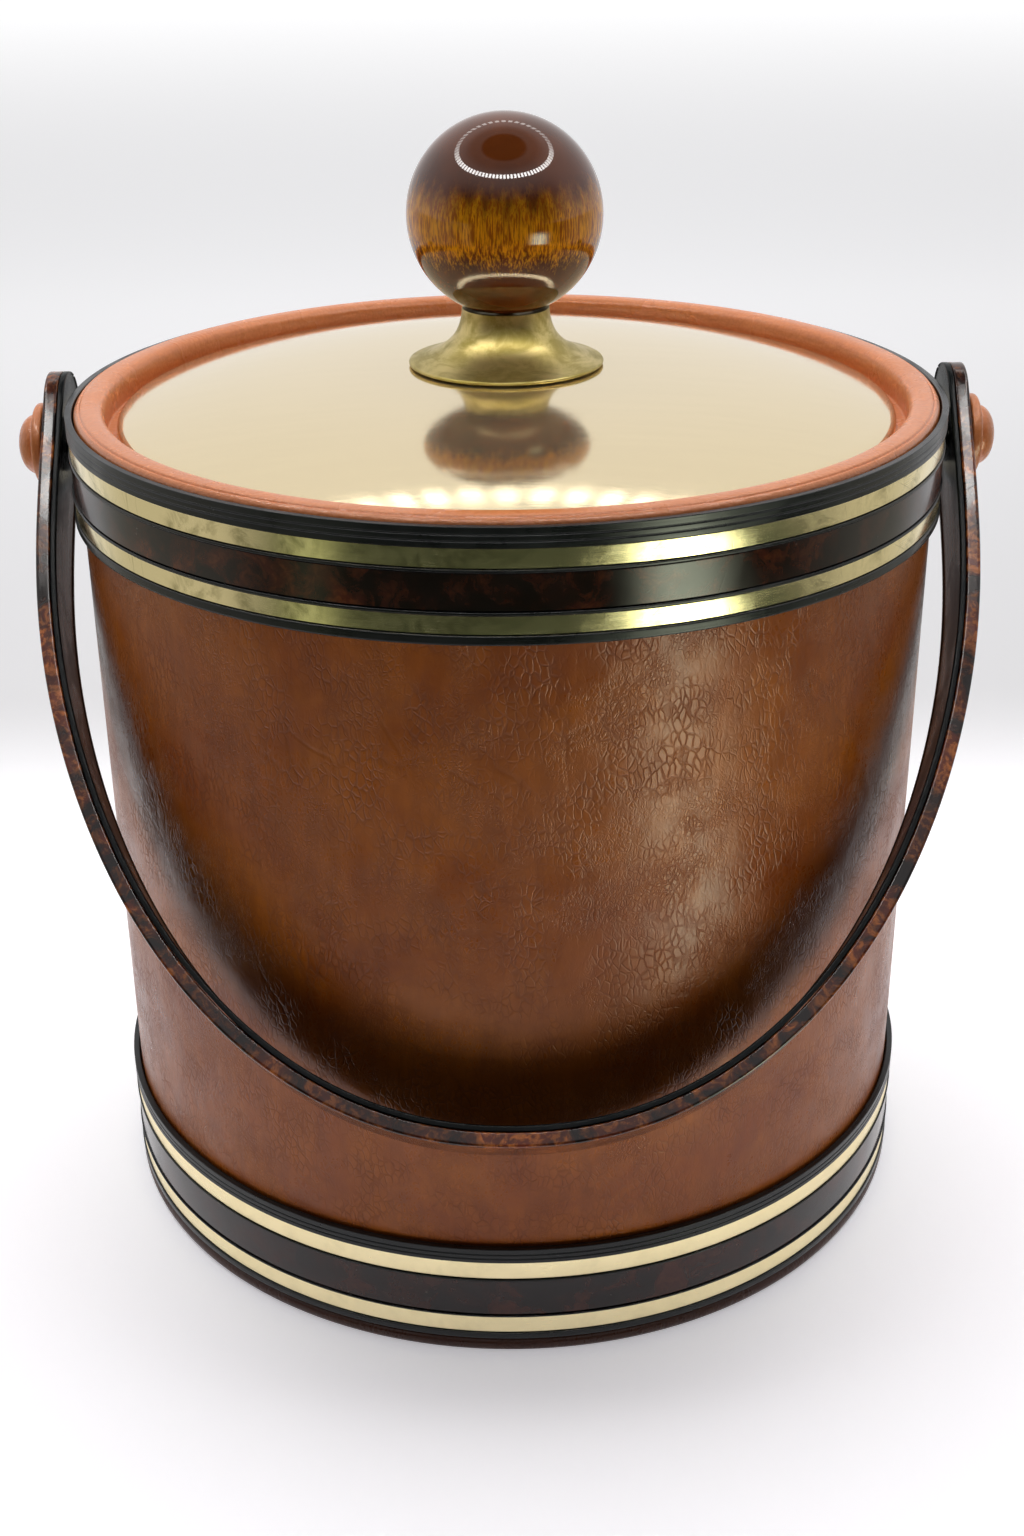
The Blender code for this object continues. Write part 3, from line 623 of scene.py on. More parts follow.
def tortoise_finish(name, sizes, colours, glow):
    """Glossy tortoise plastic; glow is how much of the light amber shows."""
    skin = Finish(name, 0.16, 90.0, coat=0.2, coat_roughness=0.04, specular=0.35)
    tree = skin.tree
    shell = skin.effect("tortoise_mottle", Patch_Scale=1 / sizes.patch_size)
    warm = blended(tree, times(tree, shell["Flecks"], glow), colours.tortoise_red, colours.tortoise_amber)
    share = times(tree, shell["Patches"], spread(tree, shell["Drift"], 0.0, 1.0, 0.45, 1.0))
    skin.start(share, colours.tortoise_dark, warm, 0.35 + 0.65 * glow)
    skin.tint(skin.marks["Specks"], (0.3, 0.28, 0.25), 0.25)
    skin.roughen(skin.marks["Smudges"], 0.13, 0.24)
    return skin.relief(noise(tree, skin.place, 90.0, 3.0), 0.08, 0.0001, skin.marks["Scratches"])


def steel_finish():
    """Zinc-plated steel with a blotchy, faintly rusty film."""
    skin = Finish("zinc_plating", 0.35, 260.0, metallic=1.0)
    cloudy = skin.clouds(0.35, 0.68, 420.0, 4.0, 0.6)
    skin.start(cloudy, (0.62, 0.62, 0.60), (0.44, 0.42, 0.37))
    skin.tint(skin.marks["Smudges"], (0.30, 0.20, 0.12), 0.25)
    skin.roughen(cloudy, 0.28, 0.46)
    return skin.relief(skin.marks["Scratches"], 0.2, 0.00005)


def foam_finish():
    """Bead foam: packed beads with shaded joints between them."""
    skin = Finish("bead_foam", 0.85, 60.0)
    beads = add(skin.tree, "ShaderNodeTexVoronoi", {"Vector": skin.place, "Scale": 330.0})
    joints = spread(skin.tree, beads.outputs["Distance"], 0.35, 0.75)
    skin.start(joints, (0.80, 0.80, 0.77), (0.55, 0.54, 0.50))
    skin.tint(skin.marks["Smudges"], (0.62, 0.56, 0.44), 0.2)
    return skin.relief(times(skin.tree, joints, -1.0), 0.6, 0.0004)


def paper_finish(name, light, dark, fibre_scale):
    """Fibrous board or paper: matted fibres and slow stains."""
    skin = Finish(name, 0.85, 50.0)
    fibres = noise(skin.tree, warped(skin.tree, skin.place, 700.0, 0.002), fibre_scale, 4.0, 0.7)
    skin.start(spread(skin.tree, fibres, 0.35, 0.65), dark, light)
    skin.tint(skin.marks["Scratches"], light, 0.4)
    skin.roughen(skin.marks["Smudges"], 0.7, 0.9)
    return skin.relief(fibres, 0.3, 0.0002)


def place(piece, body, slot, material, *nodes):
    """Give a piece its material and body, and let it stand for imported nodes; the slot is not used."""
    piece.data.materials.append(material)
    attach(piece, body)
    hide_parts(*nodes)
    return piece


# --- operators ---------------------------------------------------------------------------------
class BUCKET_OT_effects(bpy.types.Operator):
    """Build the shared crease, grain, mottle, brushing and wear effects"""
    bl_idname = "bucket.effects"
    bl_label = "Shared effects"

    def execute(self, context):
        """Make each node group once."""
        make_crease_group()
        make_grain_group()
        make_mottle_group()
        make_brushed_group()
        make_wear_group()
        return {"FINISHED"}


class BUCKET_OT_cover(bpy.types.Operator):
    """Make the vinyl cover with its rolled hem, and the disc under the base"""
    bl_idname = "bucket.cover"
    bl_label = "Vinyl cover"

    def execute(self, context):
        """Turn the cover and the base disc."""
        sizes, colours = context.scene.bucket_sizes, context.scene.bucket_colours
        disc_radius, disc_top = high("base_cover_disc")[0], high("base_cover_disc")[2]
        hem_outer, top = high("vinyl_cover")[0], high("vinyl_cover")[2]
        radius, thickness = hem_outer - HEM_ROLL, disc_top
        bend = np.linspace(math.pi / 2, -math.pi / 2, 22)
        hem = np.stack([radius + HEM_ROLL * np.cos(bend), HEM_ROLL + HEM_ROLL * np.sin(bend)], axis=1)
        inner = disc_radius + CLEARANCE
        outline = np.concatenate([
            [(radius - thickness, top), (radius, top), (radius, 2 * HEM_ROLL + 0.3 * MM)], hem,
            [(inner, 0.0), (inner, thickness), (radius - thickness, thickness)]])
        ease = np.zeros(len(outline))
        ease[[0, 1, -3, -2, -1]] = 0.2 * MM
        cover = revolved("vinyl_wrap", eased(outline, ease), 384)
        place(cover, "bucket", "vinyl", vinyl_finish(sizes, colours), "vinyl_cover")

        paper = paper_finish("black_base_paper", (0.035, 0.034, 0.034), (0.012, 0.012, 0.013), 1500.0)
        disc = plain_ring(0.0, disc_radius, 0.0, disc_top, [0.0, 0.15, 0.15, 0.0])
        place(revolved("base_paper_disc", disc), "bucket", "base_paper", paper, "base_cover_disc")
        return {"FINISHED"}


def plain_ring(inner, outer, foot, top, ease):
    """Rectangular outline (r, z) with its corners eased, by easings in millimetres."""
    return eased([(inner, foot), (outer, foot), (outer, top), (inner, top)], np.array(ease) * MM)


def band_outline(levels, inner, outer, groove, edge, lip_groove):
    """Channel outline: rounded lips, two thin ribs, and two fine grooves in the top lip.

    The lip's grooves are g(z) = depth times a narrow bell about each groove's height.
    """
    foot, lip_foot, rib_low, rib_high, lip_top, top = levels
    heights = np.linspace(lip_top + 0.5 * edge, top - 1.2 * edge, 40)
    bells = sum(np.exp(-((heights - (lip_top + share * (top - lip_top))) / (0.14 * MM)) ** 2)
                for share in (0.30, 0.62))
    lip = np.stack([outer - lip_groove * bells, heights], axis=1)
    points = [(inner, foot), (outer, foot), (outer, lip_foot), (groove, lip_foot),
              (groove, rib_low[0]), (outer, rib_low[0]), (outer, rib_low[1]), (groove, rib_low[1]),
              (groove, rib_high[0]), (outer, rib_high[0]), (outer, rib_high[1]), (groove, rib_high[1]),
              (groove, lip_top), (outer, lip_top)]
    ease = [0.1 * MM, 2.0 * edge, edge, 0.0, 0.0, 0.22 * MM, 0.22 * MM, 0.0,
            0.0, 0.22 * MM, 0.22 * MM, 0.0, 0.0, 0.4 * edge]
    after = [(outer, top), (inner, top)]
    outline = np.concatenate([points, lip, after])
    return eased(outline, ease + [0.0] * len(lip) + [3.0 * edge, 1.0 * edge])


class BUCKET_OT_bands(bpy.types.Operator):
    """Make the two black trim bands and their gold and dark strips"""
    bl_idname = "bucket.bands"
    bl_label = "Trim bands"

    def execute(self, context):
        """Turn each band's channel and its three strips."""
        sizes, colours = context.scene.bucket_sizes, context.scene.bucket_colours
        black = black_finish("black_extrusion", colours, 0.36)
        finishes = {
            # Painted light: the lower strips get far less patina than the upper ones, so the same metal
            # looks brighter where it mirrors the bright floor; the patina itself is real tarnish.
            "upper_gold_strip": ("gold_foil", gold_strip_finish("worn_gold", colours, 0.13, 0.9)),
            "lower_gold_strip": ("gold_foil", gold_strip_finish("clean_gold", colours, 0.26, 0.15)),
            "upper_tortoise_strip": ("tortoise_strip",
                                     tortoise_finish("dark_tortoise", sizes, colours, 0.25)),
            "lower_dark_strip": ("tortoise_strip",
                                 tortoise_finish("deep_tortoise", sizes, colours, 0.08)),
        }
        gap = 0.2 * MM
        for band, middle in (("upper", "tortoise_strip"), ("lower", "dark_strip")):
            carrier = f"{band}_band_carrier"
            strips = [f"{band}_gold_strip_low", f"{band}_{middle}", f"{band}_gold_strip_high"]
            outer, strip_outer = high(carrier)[0], high(strips[0])[0]
            inner = high("vinyl_cover")[0] - HEM_ROLL + CLEARANCE
            groove = outer - 1.1 * MM
            levels = (low(carrier)[2], low(strips[0])[2] - gap,
                      (high(strips[0])[2] + gap, low(strips[1])[2] - gap),
                      (high(strips[1])[2] + gap, low(strips[2])[2] - gap),
                      high(strips[2])[2] + gap, high(carrier)[2])
            outline = band_outline(levels, inner, outer, groove, sizes.edge, sizes.lip_groove)
            place(revolved(f"{band}_band_channel", outline, 320), "bucket", "black_plastic", black, carrier)
            for strip in strips:
                slot, material = finishes[strip.removesuffix("_low").removesuffix("_high")]
                foot, top = low(strip)[2], high(strip)[2]
                heights = np.linspace(foot, top, 24)
                share = (heights - foot) / (top - foot)
                face = np.stack([strip_outer - sizes.strip_crown * (2 * share - 1) ** 2, heights], axis=1)
                back = strip_outer - 0.55 * MM
                outline = np.concatenate([[(back, foot)], face, [(back, top)]])
                ease = np.zeros(len(outline))
                ease[[1, -2]] = sizes.strip_edge
                place(revolved(f"{strip}_inlay", eased(outline, ease, hold=0.0), 320), "bucket", slot,
                      material, strip)
        return {"FINISHED"}


class BUCKET_OT_liner(bpy.types.Operator):
    """Make the moulded liner with its lid ledge and wide rounded rim"""
    bl_idname = "bucket.liner"
    bl_label = "Liner and rim"

    def execute(self, context):
        """Turn the liner's outline: well, ledge, rim crest and outside."""
        sizes, colours = context.scene.bucket_sizes, context.scene.bucket_colours
        lowest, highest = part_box("inner_liner")
        rim_outer, crest = highest[0], highest[2]
        rim_inner, ledge = 87.0 * MM, 182.0 * MM
        wall, floor = 2.2 * MM, lowest[2] + 2.2 * MM
        well_foot, well_top = 79.6 * MM, 82.0 * MM
        middle, half_width, rise = (rim_inner + rim_outer) / 2, (rim_outer - rim_inner) / 2, 2.5 * MM
        sweep = np.linspace(math.pi, 0.0, 72)
        squareness = 2 / 2.7
        radii = middle + half_width * np.sign(np.cos(sweep)) * np.abs(np.cos(sweep)) ** squareness
        heights = crest - rise + rise * np.abs(np.sin(sweep)) ** squareness
        heights -= sizes.rim_groove * np.exp(-((radii - (rim_outer - 1.25 * MM)) / (0.2 * MM)) ** 2)
        rim = np.stack([radii, heights], axis=1)
        shoulder = rim_outer - 3.7 * MM
        under_rim, under_ledge = high("vinyl_cover")[2] + CLEARANCE, ledge - 1.5 * MM
        inside = [(0.0, floor), (well_foot, floor), (well_top, ledge), (rim_inner, ledge)]
        outside = [(rim_outer, under_rim), (shoulder, under_rim), (shoulder, under_ledge),
                   (well_top + wall, under_ledge), (well_foot + wall, lowest[2]), (0.0, lowest[2])]
        outline = np.concatenate([inside, rim, outside])
        ease = [0.0, 4.0 * MM, 0.6 * MM, 0.5 * MM] + [0.0] * len(rim) + [0.2 * MM] * 4 + [4.0 * MM, 0.0]
        liner = revolved("liner_and_rim", eased(outline, ease), 320)
        place(liner, "bucket", "tan_plastic", tan_finish(sizes, colours), "inner_liner")
        return {"FINISHED"}


class BUCKET_OT_lid(bpy.types.Operator):
    """Make the domed metal lid and the plastic tray under it"""
    bl_idname = "bucket.lid"
    bl_label = "Lid"

    def execute(self, context):
        """Turn the disc and the tray."""
        lowest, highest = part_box("lid_disc")
        radius, crown, foot = highest[0], highest[2], lowest[2]
        sheet, shoulder_radius, drop, bend_in = 0.6 * MM, 83.0 * MM, 7.8 * MM, 0.55 * MM
        spans = np.linspace(BORE, shoulder_radius, 40)
        top = np.stack([spans, crown - drop * (spans / shoulder_radius) ** 3], axis=1)
        shoulder = top[-1, 1]
        bend = np.linspace(math.radians(74), 0.0, 12)[1:]
        bend_foot = shoulder_radius - bend_in
        turned_edge = np.stack([bend_foot + (radius - shoulder_radius + bend_in) * np.cos(bend),
                                shoulder - 2.0 * MM + 2.0 * MM * np.sin(bend)], axis=1)
        inside = np.stack([spans[::-1] - 0.2 * MM, top[::-1, 1] - sheet], axis=1)[1:-1]
        outline = np.concatenate([top, turned_edge, [(radius, foot), (radius - sheet, foot),
                                                     (radius - sheet, shoulder - 1.8 * MM)],
                                  inside, [(BORE, crown - sheet)]])
        ease = np.zeros(len(outline))
        edge_end = len(top) + len(turned_edge)
        ease[edge_end:edge_end + 2] = 0.15 * MM
        disc = revolved("lid_dome", eased(outline, ease, hold=0.0), 320)
        place(disc, "lid", "gold_metal", lid_finish(context.scene.bucket_colours), "lid_disc")

        lowest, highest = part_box("lid_tray")
        flange, tray_radius, wall = highest[0], 81.2 * MM, 1.5 * MM
        foot, flange_top = lowest[2], highest[2]
        flange_foot, floor_top = flange_top - 1.0 * MM, foot + wall
        outline = [(BORE, foot), (tray_radius, foot), (tray_radius, flange_foot), (flange, flange_foot),
                   (flange, flange_top), (tray_radius - wall, flange_top),
                   (tray_radius - wall, floor_top), (BORE, floor_top)]
        ease = np.array([0.0, 1.4, 0.3, 0.25, 0.25, 0.1, 0.4, 0.0]) * MM
        tray = revolved("lid_underside", eased(outline, ease), 256)
        place(tray, "lid", "tan_plastic", bpy.data.materials["tan_moulding"], "lid_tray")
        return {"FINISHED"}


class BUCKET_OT_knob(bpy.types.Operator):
    """Make the ball, its flared ferrule, and the screw and washer under the lid"""
    bl_idname = "bucket.knob"
    bl_label = "Knob"

    def execute(self, context):
        """Turn the knob's pieces."""
        sizes, colours = context.scene.bucket_sizes, context.scene.bucket_colours
        lowest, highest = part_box("knob_ferrule")
        flare, top, foot = highest[0], highest[2], lowest[2]
        dome_foot = high("lid_disc")[2] + CLEARANCE
        neck, lip_height, lip_round = 8.8 * MM, 0.8 * MM, 0.3 * MM
        share = np.linspace(0.0, 1.0, 60) ** 1.5
        rise = share * (top - foot - lip_height)
        swoop = neck + (flare - lip_round - neck) * np.exp(-rise / (3.3 * MM)) + 0.25 * MM * share ** 3
        bell = np.stack([swoop, foot + lip_height + rise], axis=1)
        lip = np.array([(flare - 0.08 * MM, foot + 0.68 * MM), (flare, foot + 0.45 * MM),
                        (flare - 0.08 * MM, foot + 0.15 * MM)])
        outline = np.concatenate([[(BORE, top)], bell[::-1], lip,
                                  [(flare - lip_round, foot), (BORE, dome_foot)]])
        ease = np.zeros(len(outline))
        ease[1] = 0.3 * MM
        ferrule = revolved("flared_ferrule", eased(outline, ease, hold=0.0), 192)
        place(ferrule, "lid", "aged_brass", ferrule_finish(colours), "knob_ferrule")

        lowest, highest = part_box("knob_ball")
        radius = (highest[0] - lowest[0]) / 2
        centre = highest[2] - radius
        seat, bore_top = lowest[2], 218.0 * MM
        start = math.asin((seat - centre) / radius)
        sweep = np.linspace(start, math.pi / 2, 110)
        ball_face = np.stack([radius * np.cos(sweep), centre + radius * np.sin(sweep)], axis=1)
        ball_face[-1, 0] = 0.0
        outline = np.concatenate([[(BORE, seat)], ball_face, [(0.0, bore_top), (BORE, bore_top)]])
        ball = revolved("tiger_eye_ball", outline, 224)
        place(ball, "lid", "tiger_eye", tiger_eye_finish(sizes, colours, centre, radius), "knob_ball")

        steel = steel_finish()
        lowest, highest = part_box("knob_washer")
        outline = plain_ring(BORE, highest[0], lowest[2], highest[2], [0.1, 0.25, 0.15, 0.05])
        place(revolved("screw_washer", outline, 96), "lid", "steel", steel, "knob_washer")

        lowest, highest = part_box("knob_screw")
        head, shank = highest[0], 2.0 * MM
        head_foot, head_top = lowest[2], lowest[2] + 1.8 * MM
        sweep = np.linspace(-math.pi / 2, 0.0, 16)
        pan = np.stack([head * np.cos(sweep), head_top - 0.2 * MM + 1.6 * MM * np.sin(sweep)], axis=1)
        pan[0, 0] = 0.0
        threads = np.linspace(0.0, 1.0, 400)
        thread_heights = head_top + 0.3 * MM + threads * (highest[2] - 2.0 * MM - head_top - 0.3 * MM)
        ridges = shank - 0.18 * MM * (0.5 + 0.5 * np.cos(thread_heights * TURN / (0.8 * MM)))
        outline = np.concatenate([pan, [(head, head_top)], np.stack([ridges, thread_heights], axis=1),
                                  [(0.0, highest[2])]])
        outline[:, 1] = np.maximum(outline[:, 1], head_foot)
        place(revolved("knob_fixing_screw", outline, 64), "lid", "steel", steel, "knob_screw")
        return {"FINISHED"}


class BUCKET_OT_pivots(bpy.types.Operator):
    """Make the tan pivot buttons and the black washers behind the bail"""
    bl_idname = "bucket.pivots"
    bl_label = "Pivots"

    def execute(self, context):
        """Turn one button and one washer for each side."""
        tan, black = bpy.data.materials["tan_moulding"], bpy.data.materials["black_extrusion"]
        for label, side in (("left", -1), ("right", 1)):
            lowest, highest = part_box(f"pivot_button_{label}")
            height = (lowest[2] + highest[2]) / 2
            face, tip = sorted((abs(lowest[0]), abs(highest[0])))
            flange, dome = (highest[2] - lowest[2]) / 2, 6.6 * MM
            sweep = np.linspace(0.0, math.pi / 2, 26)
            dome_foot = face + 2.4 * MM
            crown = np.stack([dome * np.cos(sweep) ** 0.85,
                              dome_foot + (tip - face - 2.4 * MM) * np.sin(sweep)], axis=1)
            crown[-1, 0] = 0.0
            bore_end = face + 3.6 * MM
            outline = np.concatenate([[(BORE, face), (flange, face), (flange, face + 2.1 * MM)], crown,
                                      [(0.0, bore_end), (BORE, bore_end)]])
            ease = np.zeros(len(outline))
            ease[[1, 2, 3]] = [0.6 * MM, 1.0 * MM, 0.5 * MM]
            button = revolved(f"pivot_cap_{label}", eased(outline, ease), 128, side, height)
            place(button, "bucket", "tan_plastic", tan, f"pivot_button_{label}")

            lowest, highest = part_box(f"spacer_washer_{label}")
            near, far = sorted((abs(lowest[0]), abs(highest[0])))
            outline = plain_ring(BORE, 6.0 * MM, near, far, [0.1, 0.2, 0.2, 0.1])
            ring = revolved(f"pivot_spacer_{label}", outline, 96, side, height)
            place(ring, "bucket", "black_plastic", black, f"spacer_washer_{label}")
        return {"FINISHED"}


def bail_path():
    """Outer face of the hanging bail, its outward normals, and its share of the full width.

    Half width x(d) = W (1 - (d/D)^e)^(1/e) (1 - n exp(-(d/N)^2)) at a depth d below the pivots, then
    straight past the pivots, with the width shrinking as a half circle at each end.
    """
    widest, power, neck_in, neck_reach, overrun = 103.6 * MM, 2.13, 0.022, 40.0 * MM, 7.4 * MM
    sweep = np.linspace(0.0, math.pi, 321)[1:-1]
    depths = BAIL_DEPTH * np.sin(sweep) ** (2 / power)
    sides = np.where(sweep < math.pi / 2, -1.0, 1.0)
    body = np.clip(1.0 - (depths / BAIL_DEPTH) ** power, 0.0, None) ** (1 / power)
    spread_x = sides * widest * body * (1 - neck_in * np.exp(-(depths / neck_reach) ** 2))
    neck = widest * (1 - neck_in)
    turn = np.radians(np.linspace(2.0, 90.0, 30))
    tip = -overrun - STRAP_HALF * np.cos(turn)
    straight = np.linspace(-overrun, 0.0, 8)[1:]
    ends = np.concatenate([tip, straight])
    shares = np.concatenate([np.sin(turn), np.ones(len(straight))])
    x = np.concatenate([np.full(len(ends), -neck), spread_x, np.full(len(ends), neck)])
    z = -np.concatenate([ends, depths, ends[::-1]])
    widths = np.concatenate([shares, np.ones(len(depths)), shares[::-1]])
    run, fall = np.gradient(x), np.gradient(z)
    size = np.hypot(run, fall)
    return np.stack([x, z], axis=1), np.stack([fall / size, -run / size], axis=1), widths


class BUCKET_OT_bail(bpy.types.Operator):
    """Make the tortoise bail strap and its black lining"""
    bl_idname = "bucket.bail"
    bl_label = "Bail"

    def execute(self, context):
        """Sweep the strap and the lining along the bail's curve."""
        sizes, colours = context.scene.bucket_sizes, context.scene.bucket_colours
        path, outward, widths = bail_path()
        half, thick, gap, lining = STRAP_HALF, STRAP_THICKNESS, LINING_GAP, LINING_THICKNESS
        reach = BAIL_DEPTH - thick - gap - lining
        lean = math.asin(BAIL_STANDOFF / math.hypot(reach, half)) + math.atan2(half, reach)
        height = (low("pivot_button_left")[2] + high("pivot_button_left")[2]) / 2
        edge = sizes.strap_edge
        strap = eased([(-half, -thick), (half, -thick), (half, 0.0), (-half, 0.0)],
                      [0.6 * edge, 0.6 * edge, edge, edge], steps=9)
        piece = swept("tortoise_strap", path, outward, widths, strap, lean, height)
        place(piece, "bail", "tortoise", tortoise_finish("bail_tortoise", sizes, colours, 1.0),
              "handle_strap")
        inner, outer = -thick - gap - lining, -thick - gap
        dip = 0.22 * MM
        points = [(-half, outer), (-half, inner), (-half + 1.3 * MM, inner),
                  (-half + 1.7 * MM, inner + dip), (half - 1.7 * MM, inner + dip),
                  (half - 1.3 * MM, inner), (half, inner), (half, outer)]
        ease = [0.4 * sizes.lining_edge, sizes.lining_edge, 0.2 * MM, 0.2 * MM, 0.2 * MM, 0.2 * MM,
                sizes.lining_edge, 0.4 * sizes.lining_edge]
        piece = swept("bail_lining", path, outward, widths, eased(points, ease), lean, height)
        black = black_finish("black_lining", colours, 0.10)
        place(piece, "bail", "black_plastic", black, "handle_lining")
        return {"FINISHED"}


class BUCKET_OT_hidden(bpy.types.Operator):
    """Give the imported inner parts, which keep their own shapes, worked-out materials"""
    bl_idname = "bucket.hidden"
    bl_label = "Inner parts"

    def execute(self, context):
        """Assign board, foam and steel to the parts inside the walls."""
        board = paper_finish("fibreboard", (0.40, 0.28, 0.17), (0.26, 0.17, 0.10), 900.0)
        foam, steel = foam_finish(), bpy.data.materials["zinc_plating"]
        hidden = {"outer_tube": board, "base_board": board, "insulation_disc": foam,
                  "insulation_sleeve": foam, "lid_foam": foam}
        for side in ("left", "right"):
            for part in ("pivot_stud", "stud_nut", "backing_washer"):
                hidden[f"{part}_{side}"] = steel
        for node, material in hidden.items():
            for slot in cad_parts[node].material_slots:
                slot.material = material
        return {"FINISHED"}


def stage_piece(name, corners, faces, material, only_glossy=False):
    """Stage mesh with one material, which only glossy rays see if asked."""
    mesh = bpy.data.meshes.new(name)
    mesh.from_pydata(corners, [], faces)
    mesh.materials.append(material)
    piece = bpy.data.objects.new(name, mesh)
    bpy.context.scene.collection.objects.link(piece)
    if only_glossy:
        for ray in ("camera", "diffuse", "shadow", "transmission", "volume_scatter"):
            setattr(piece, f"visible_{ray}", False)


def emptied(holder):
    """Empty node tree of a new material or world."""
    holder.use_nodes = True
    holder.node_tree.nodes.clear()
    return holder.node_tree


def end_with(tree, kind, shader):
    """Link a shader to a new output node."""
    tree.links.new(shader.outputs[0], tree.nodes.new(kind).inputs["Surface"])


def graded(tree, value, tone, *stops):
    """Colour that changes smoothly along a value, each stop being (from, to, colour)."""
    for start, end, following in stops:
        tone = blended(tree, spread(tree, value, start, end), tone, following)
    return tone


def window(tree, value, start, full, fall, end):
    """Mask that rises between the first two values and falls between the last two."""
    return times(tree, spread(tree, value, start, full), spread(tree, value, fall, end, 1.0, 0.0))


class BUCKET_OT_stage(bpy.types.Operator):
    """Make the pale floor, the soft studio light and the camera"""
    bl_idname = "bucket.stage"
    bl_label = "Stage"

    def execute(self, context):
        """Lay the floor and cards, then set the lights, the surroundings and the camera."""
        self.floor()
        self.ring_lamp()
        self.far_floor()
        self.soft_lamp()
        self.surroundings(context.scene)
        self.camera(context.scene, context.scene.bucket_stage)
        context.scene.view_settings.view_transform = "Standard"
        context.scene.view_settings.look = "None"
        return {"FINISHED"}

    def floor(self):
        """Pale matte floor with a painted darker band behind the bucket and painted glow; a glowing ring
        near it gives its bounced light.
        """
        skin = Finish("pale_floor", 0.6)
        tree = skin.tree
        depth = add(tree, "ShaderNodeSeparateXYZ", {0: skin.place}).outputs["Y"]
        # Painted shade: the floor's colour darkens to a band 0.12 to 0.27 m behind the axis, then pales
        # again further back.
        tone = graded(tree, depth, (0.90, 0.895, 0.91), (0.12, 0.27, (0.71, 0.705, 0.715)),
                      (0.24, 2.6, (0.86, 0.86, 0.865)))
        # Painted light: the floor glows, most in front and far behind, least in the darker band.
        glow = graded(tree, depth, (0.385, 0.38, 0.40), (0.1, 0.27, (0.03, 0.03, 0.03)),
                      (0.22, 1.0, (0.33, 0.33, 0.335)), (1.0, 4.0, (0.60, 0.60, 0.60)))
        reach = add(tree, "ShaderNodeVectorMath", {0: skin.place}, operation="LENGTH").outputs["Value"]
        # Painted light: a ring 0.14 to 0.36 m from the axis glows strongly for matte rays only, standing in
        # for light bounced up onto the bucket; matte rays see the floor's colour darker.
        ring = window(tree, reach, 0.14, 0.18, 0.26, 0.36)
        bounce = blended(tree, ring, (0.04, 0.04, 0.04), (1.85, 1.80, 1.74))
        matte = tree.nodes.new("ShaderNodeLightPath").outputs["Is Diffuse Ray"]
        skin.shader.inputs["Emission Strength"].default_value = 1.0
        plug(tree, skin.shader.inputs, Base_Color=blended(tree, matte, tone, (0.22, 0.22, 0.22)),
             Emission_Color=blended(tree, matte, glow, bounce))
        side, front, back = 8, -4, 12
        stage_piece("floor", [(-side, front, 0), (side, front, 0), (side, back, 0), (-side, back, 0)],
                    [(0, 1, 2, 3)], skin.material)

    def ring_lamp(self):
        """Ring of small lamps overhead, weaker at its back, where the lid mirrors them."""
        material = bpy.data.materials.new("ring_light")
        tree = emptied(material)
        where = tree.nodes.new("ShaderNodeTexCoord").outputs["Object"]
        depth = add(tree, "ShaderNodeSeparateXYZ", {0: where}).outputs["Y"]
        light = add(tree, "ShaderNodeEmission", {"Color": (1.0, 0.99, 0.97, 1.0),
                                                 "Strength": spread(tree, depth, -0.1, 0.2, 26.0, 4.0)})
        end_with(tree, "ShaderNodeOutputMaterial", light)

        lamps, height, radius, forward, band = 64, 0.52, 0.255, 0.01, 0.019
        turn = np.linspace(0.0, TURN, lamps, endpoint=False)
        half = 0.30 * TURN / lamps
        corners = np.stack([np.stack([(radius + out) * np.cos(turn + step),
                                      forward + (radius + out) * np.sin(turn + step),
                                      np.full(lamps, height)], axis=1)
                            for out, step in ((-band, -half), (band, -half), (band, half),
                                              (-band, half))], axis=1)
        faces = np.arange(4 * lamps).reshape(lamps, 4)
        stage_piece("ring_lamp", corners.reshape(-1, 3).tolist(), faces.tolist(), material, True)

    def far_floor(self):
        """Floor as glossy faces see it: dark in front, dim at the sides, a bright patch front right."""
        material = bpy.data.materials.new("far_floor_light")
        tree = emptied(material)
        where = tree.nodes.new("ShaderNodeTexCoord").outputs["Object"]
        parts = add(tree, "ShaderNodeSeparateXYZ", {0: where}).outputs
        toward = sums(tree, "ARCTAN2", parts["X"], times(tree, parts["Y"], -1.0))
        degrees = times(tree, toward, 180.0 / math.pi)
        far = add(tree, "ShaderNodeVectorMath", {0: where}, operation="LENGTH").outputs["Value"]
        sides = sums(tree, "MAXIMUM", spread(tree, degrees, -74.0, -50.0, 1.0, 0.0),
                     spread(tree, degrees, 62.0, 95.0))
        patch = times(tree, window(tree, degrees, 20.0, 40.0, 41.0, 60.0),
                      spread(tree, far, 0.7, 1.4, 1.0, 0.0))
        second = times(tree, window(tree, degrees, -58.0, -46.0, -46.0, -36.0), 0.45)
        tone = blended(tree, sides, (0.045, 0.055, 0.035), (0.50, 0.48, 0.40))
        tone = graded(tree, sums(tree, "ABSOLUTE", degrees), tone, (105.0, 130.0, (0.80, 0.80, 0.81)))
        tone = blended(tree, second, tone, (0.92, 1.0, 0.60))
        tone = blended(tree, patch, tone, (0.93, 1.0, 0.74))
        light = add(tree, "ShaderNodeEmission", {"Color": tone,
                                                 "Strength": spread(tree, patch, 0.0, 1.0, 1.0, 8.5)})
        end_with(tree, "ShaderNodeOutputMaterial", light)

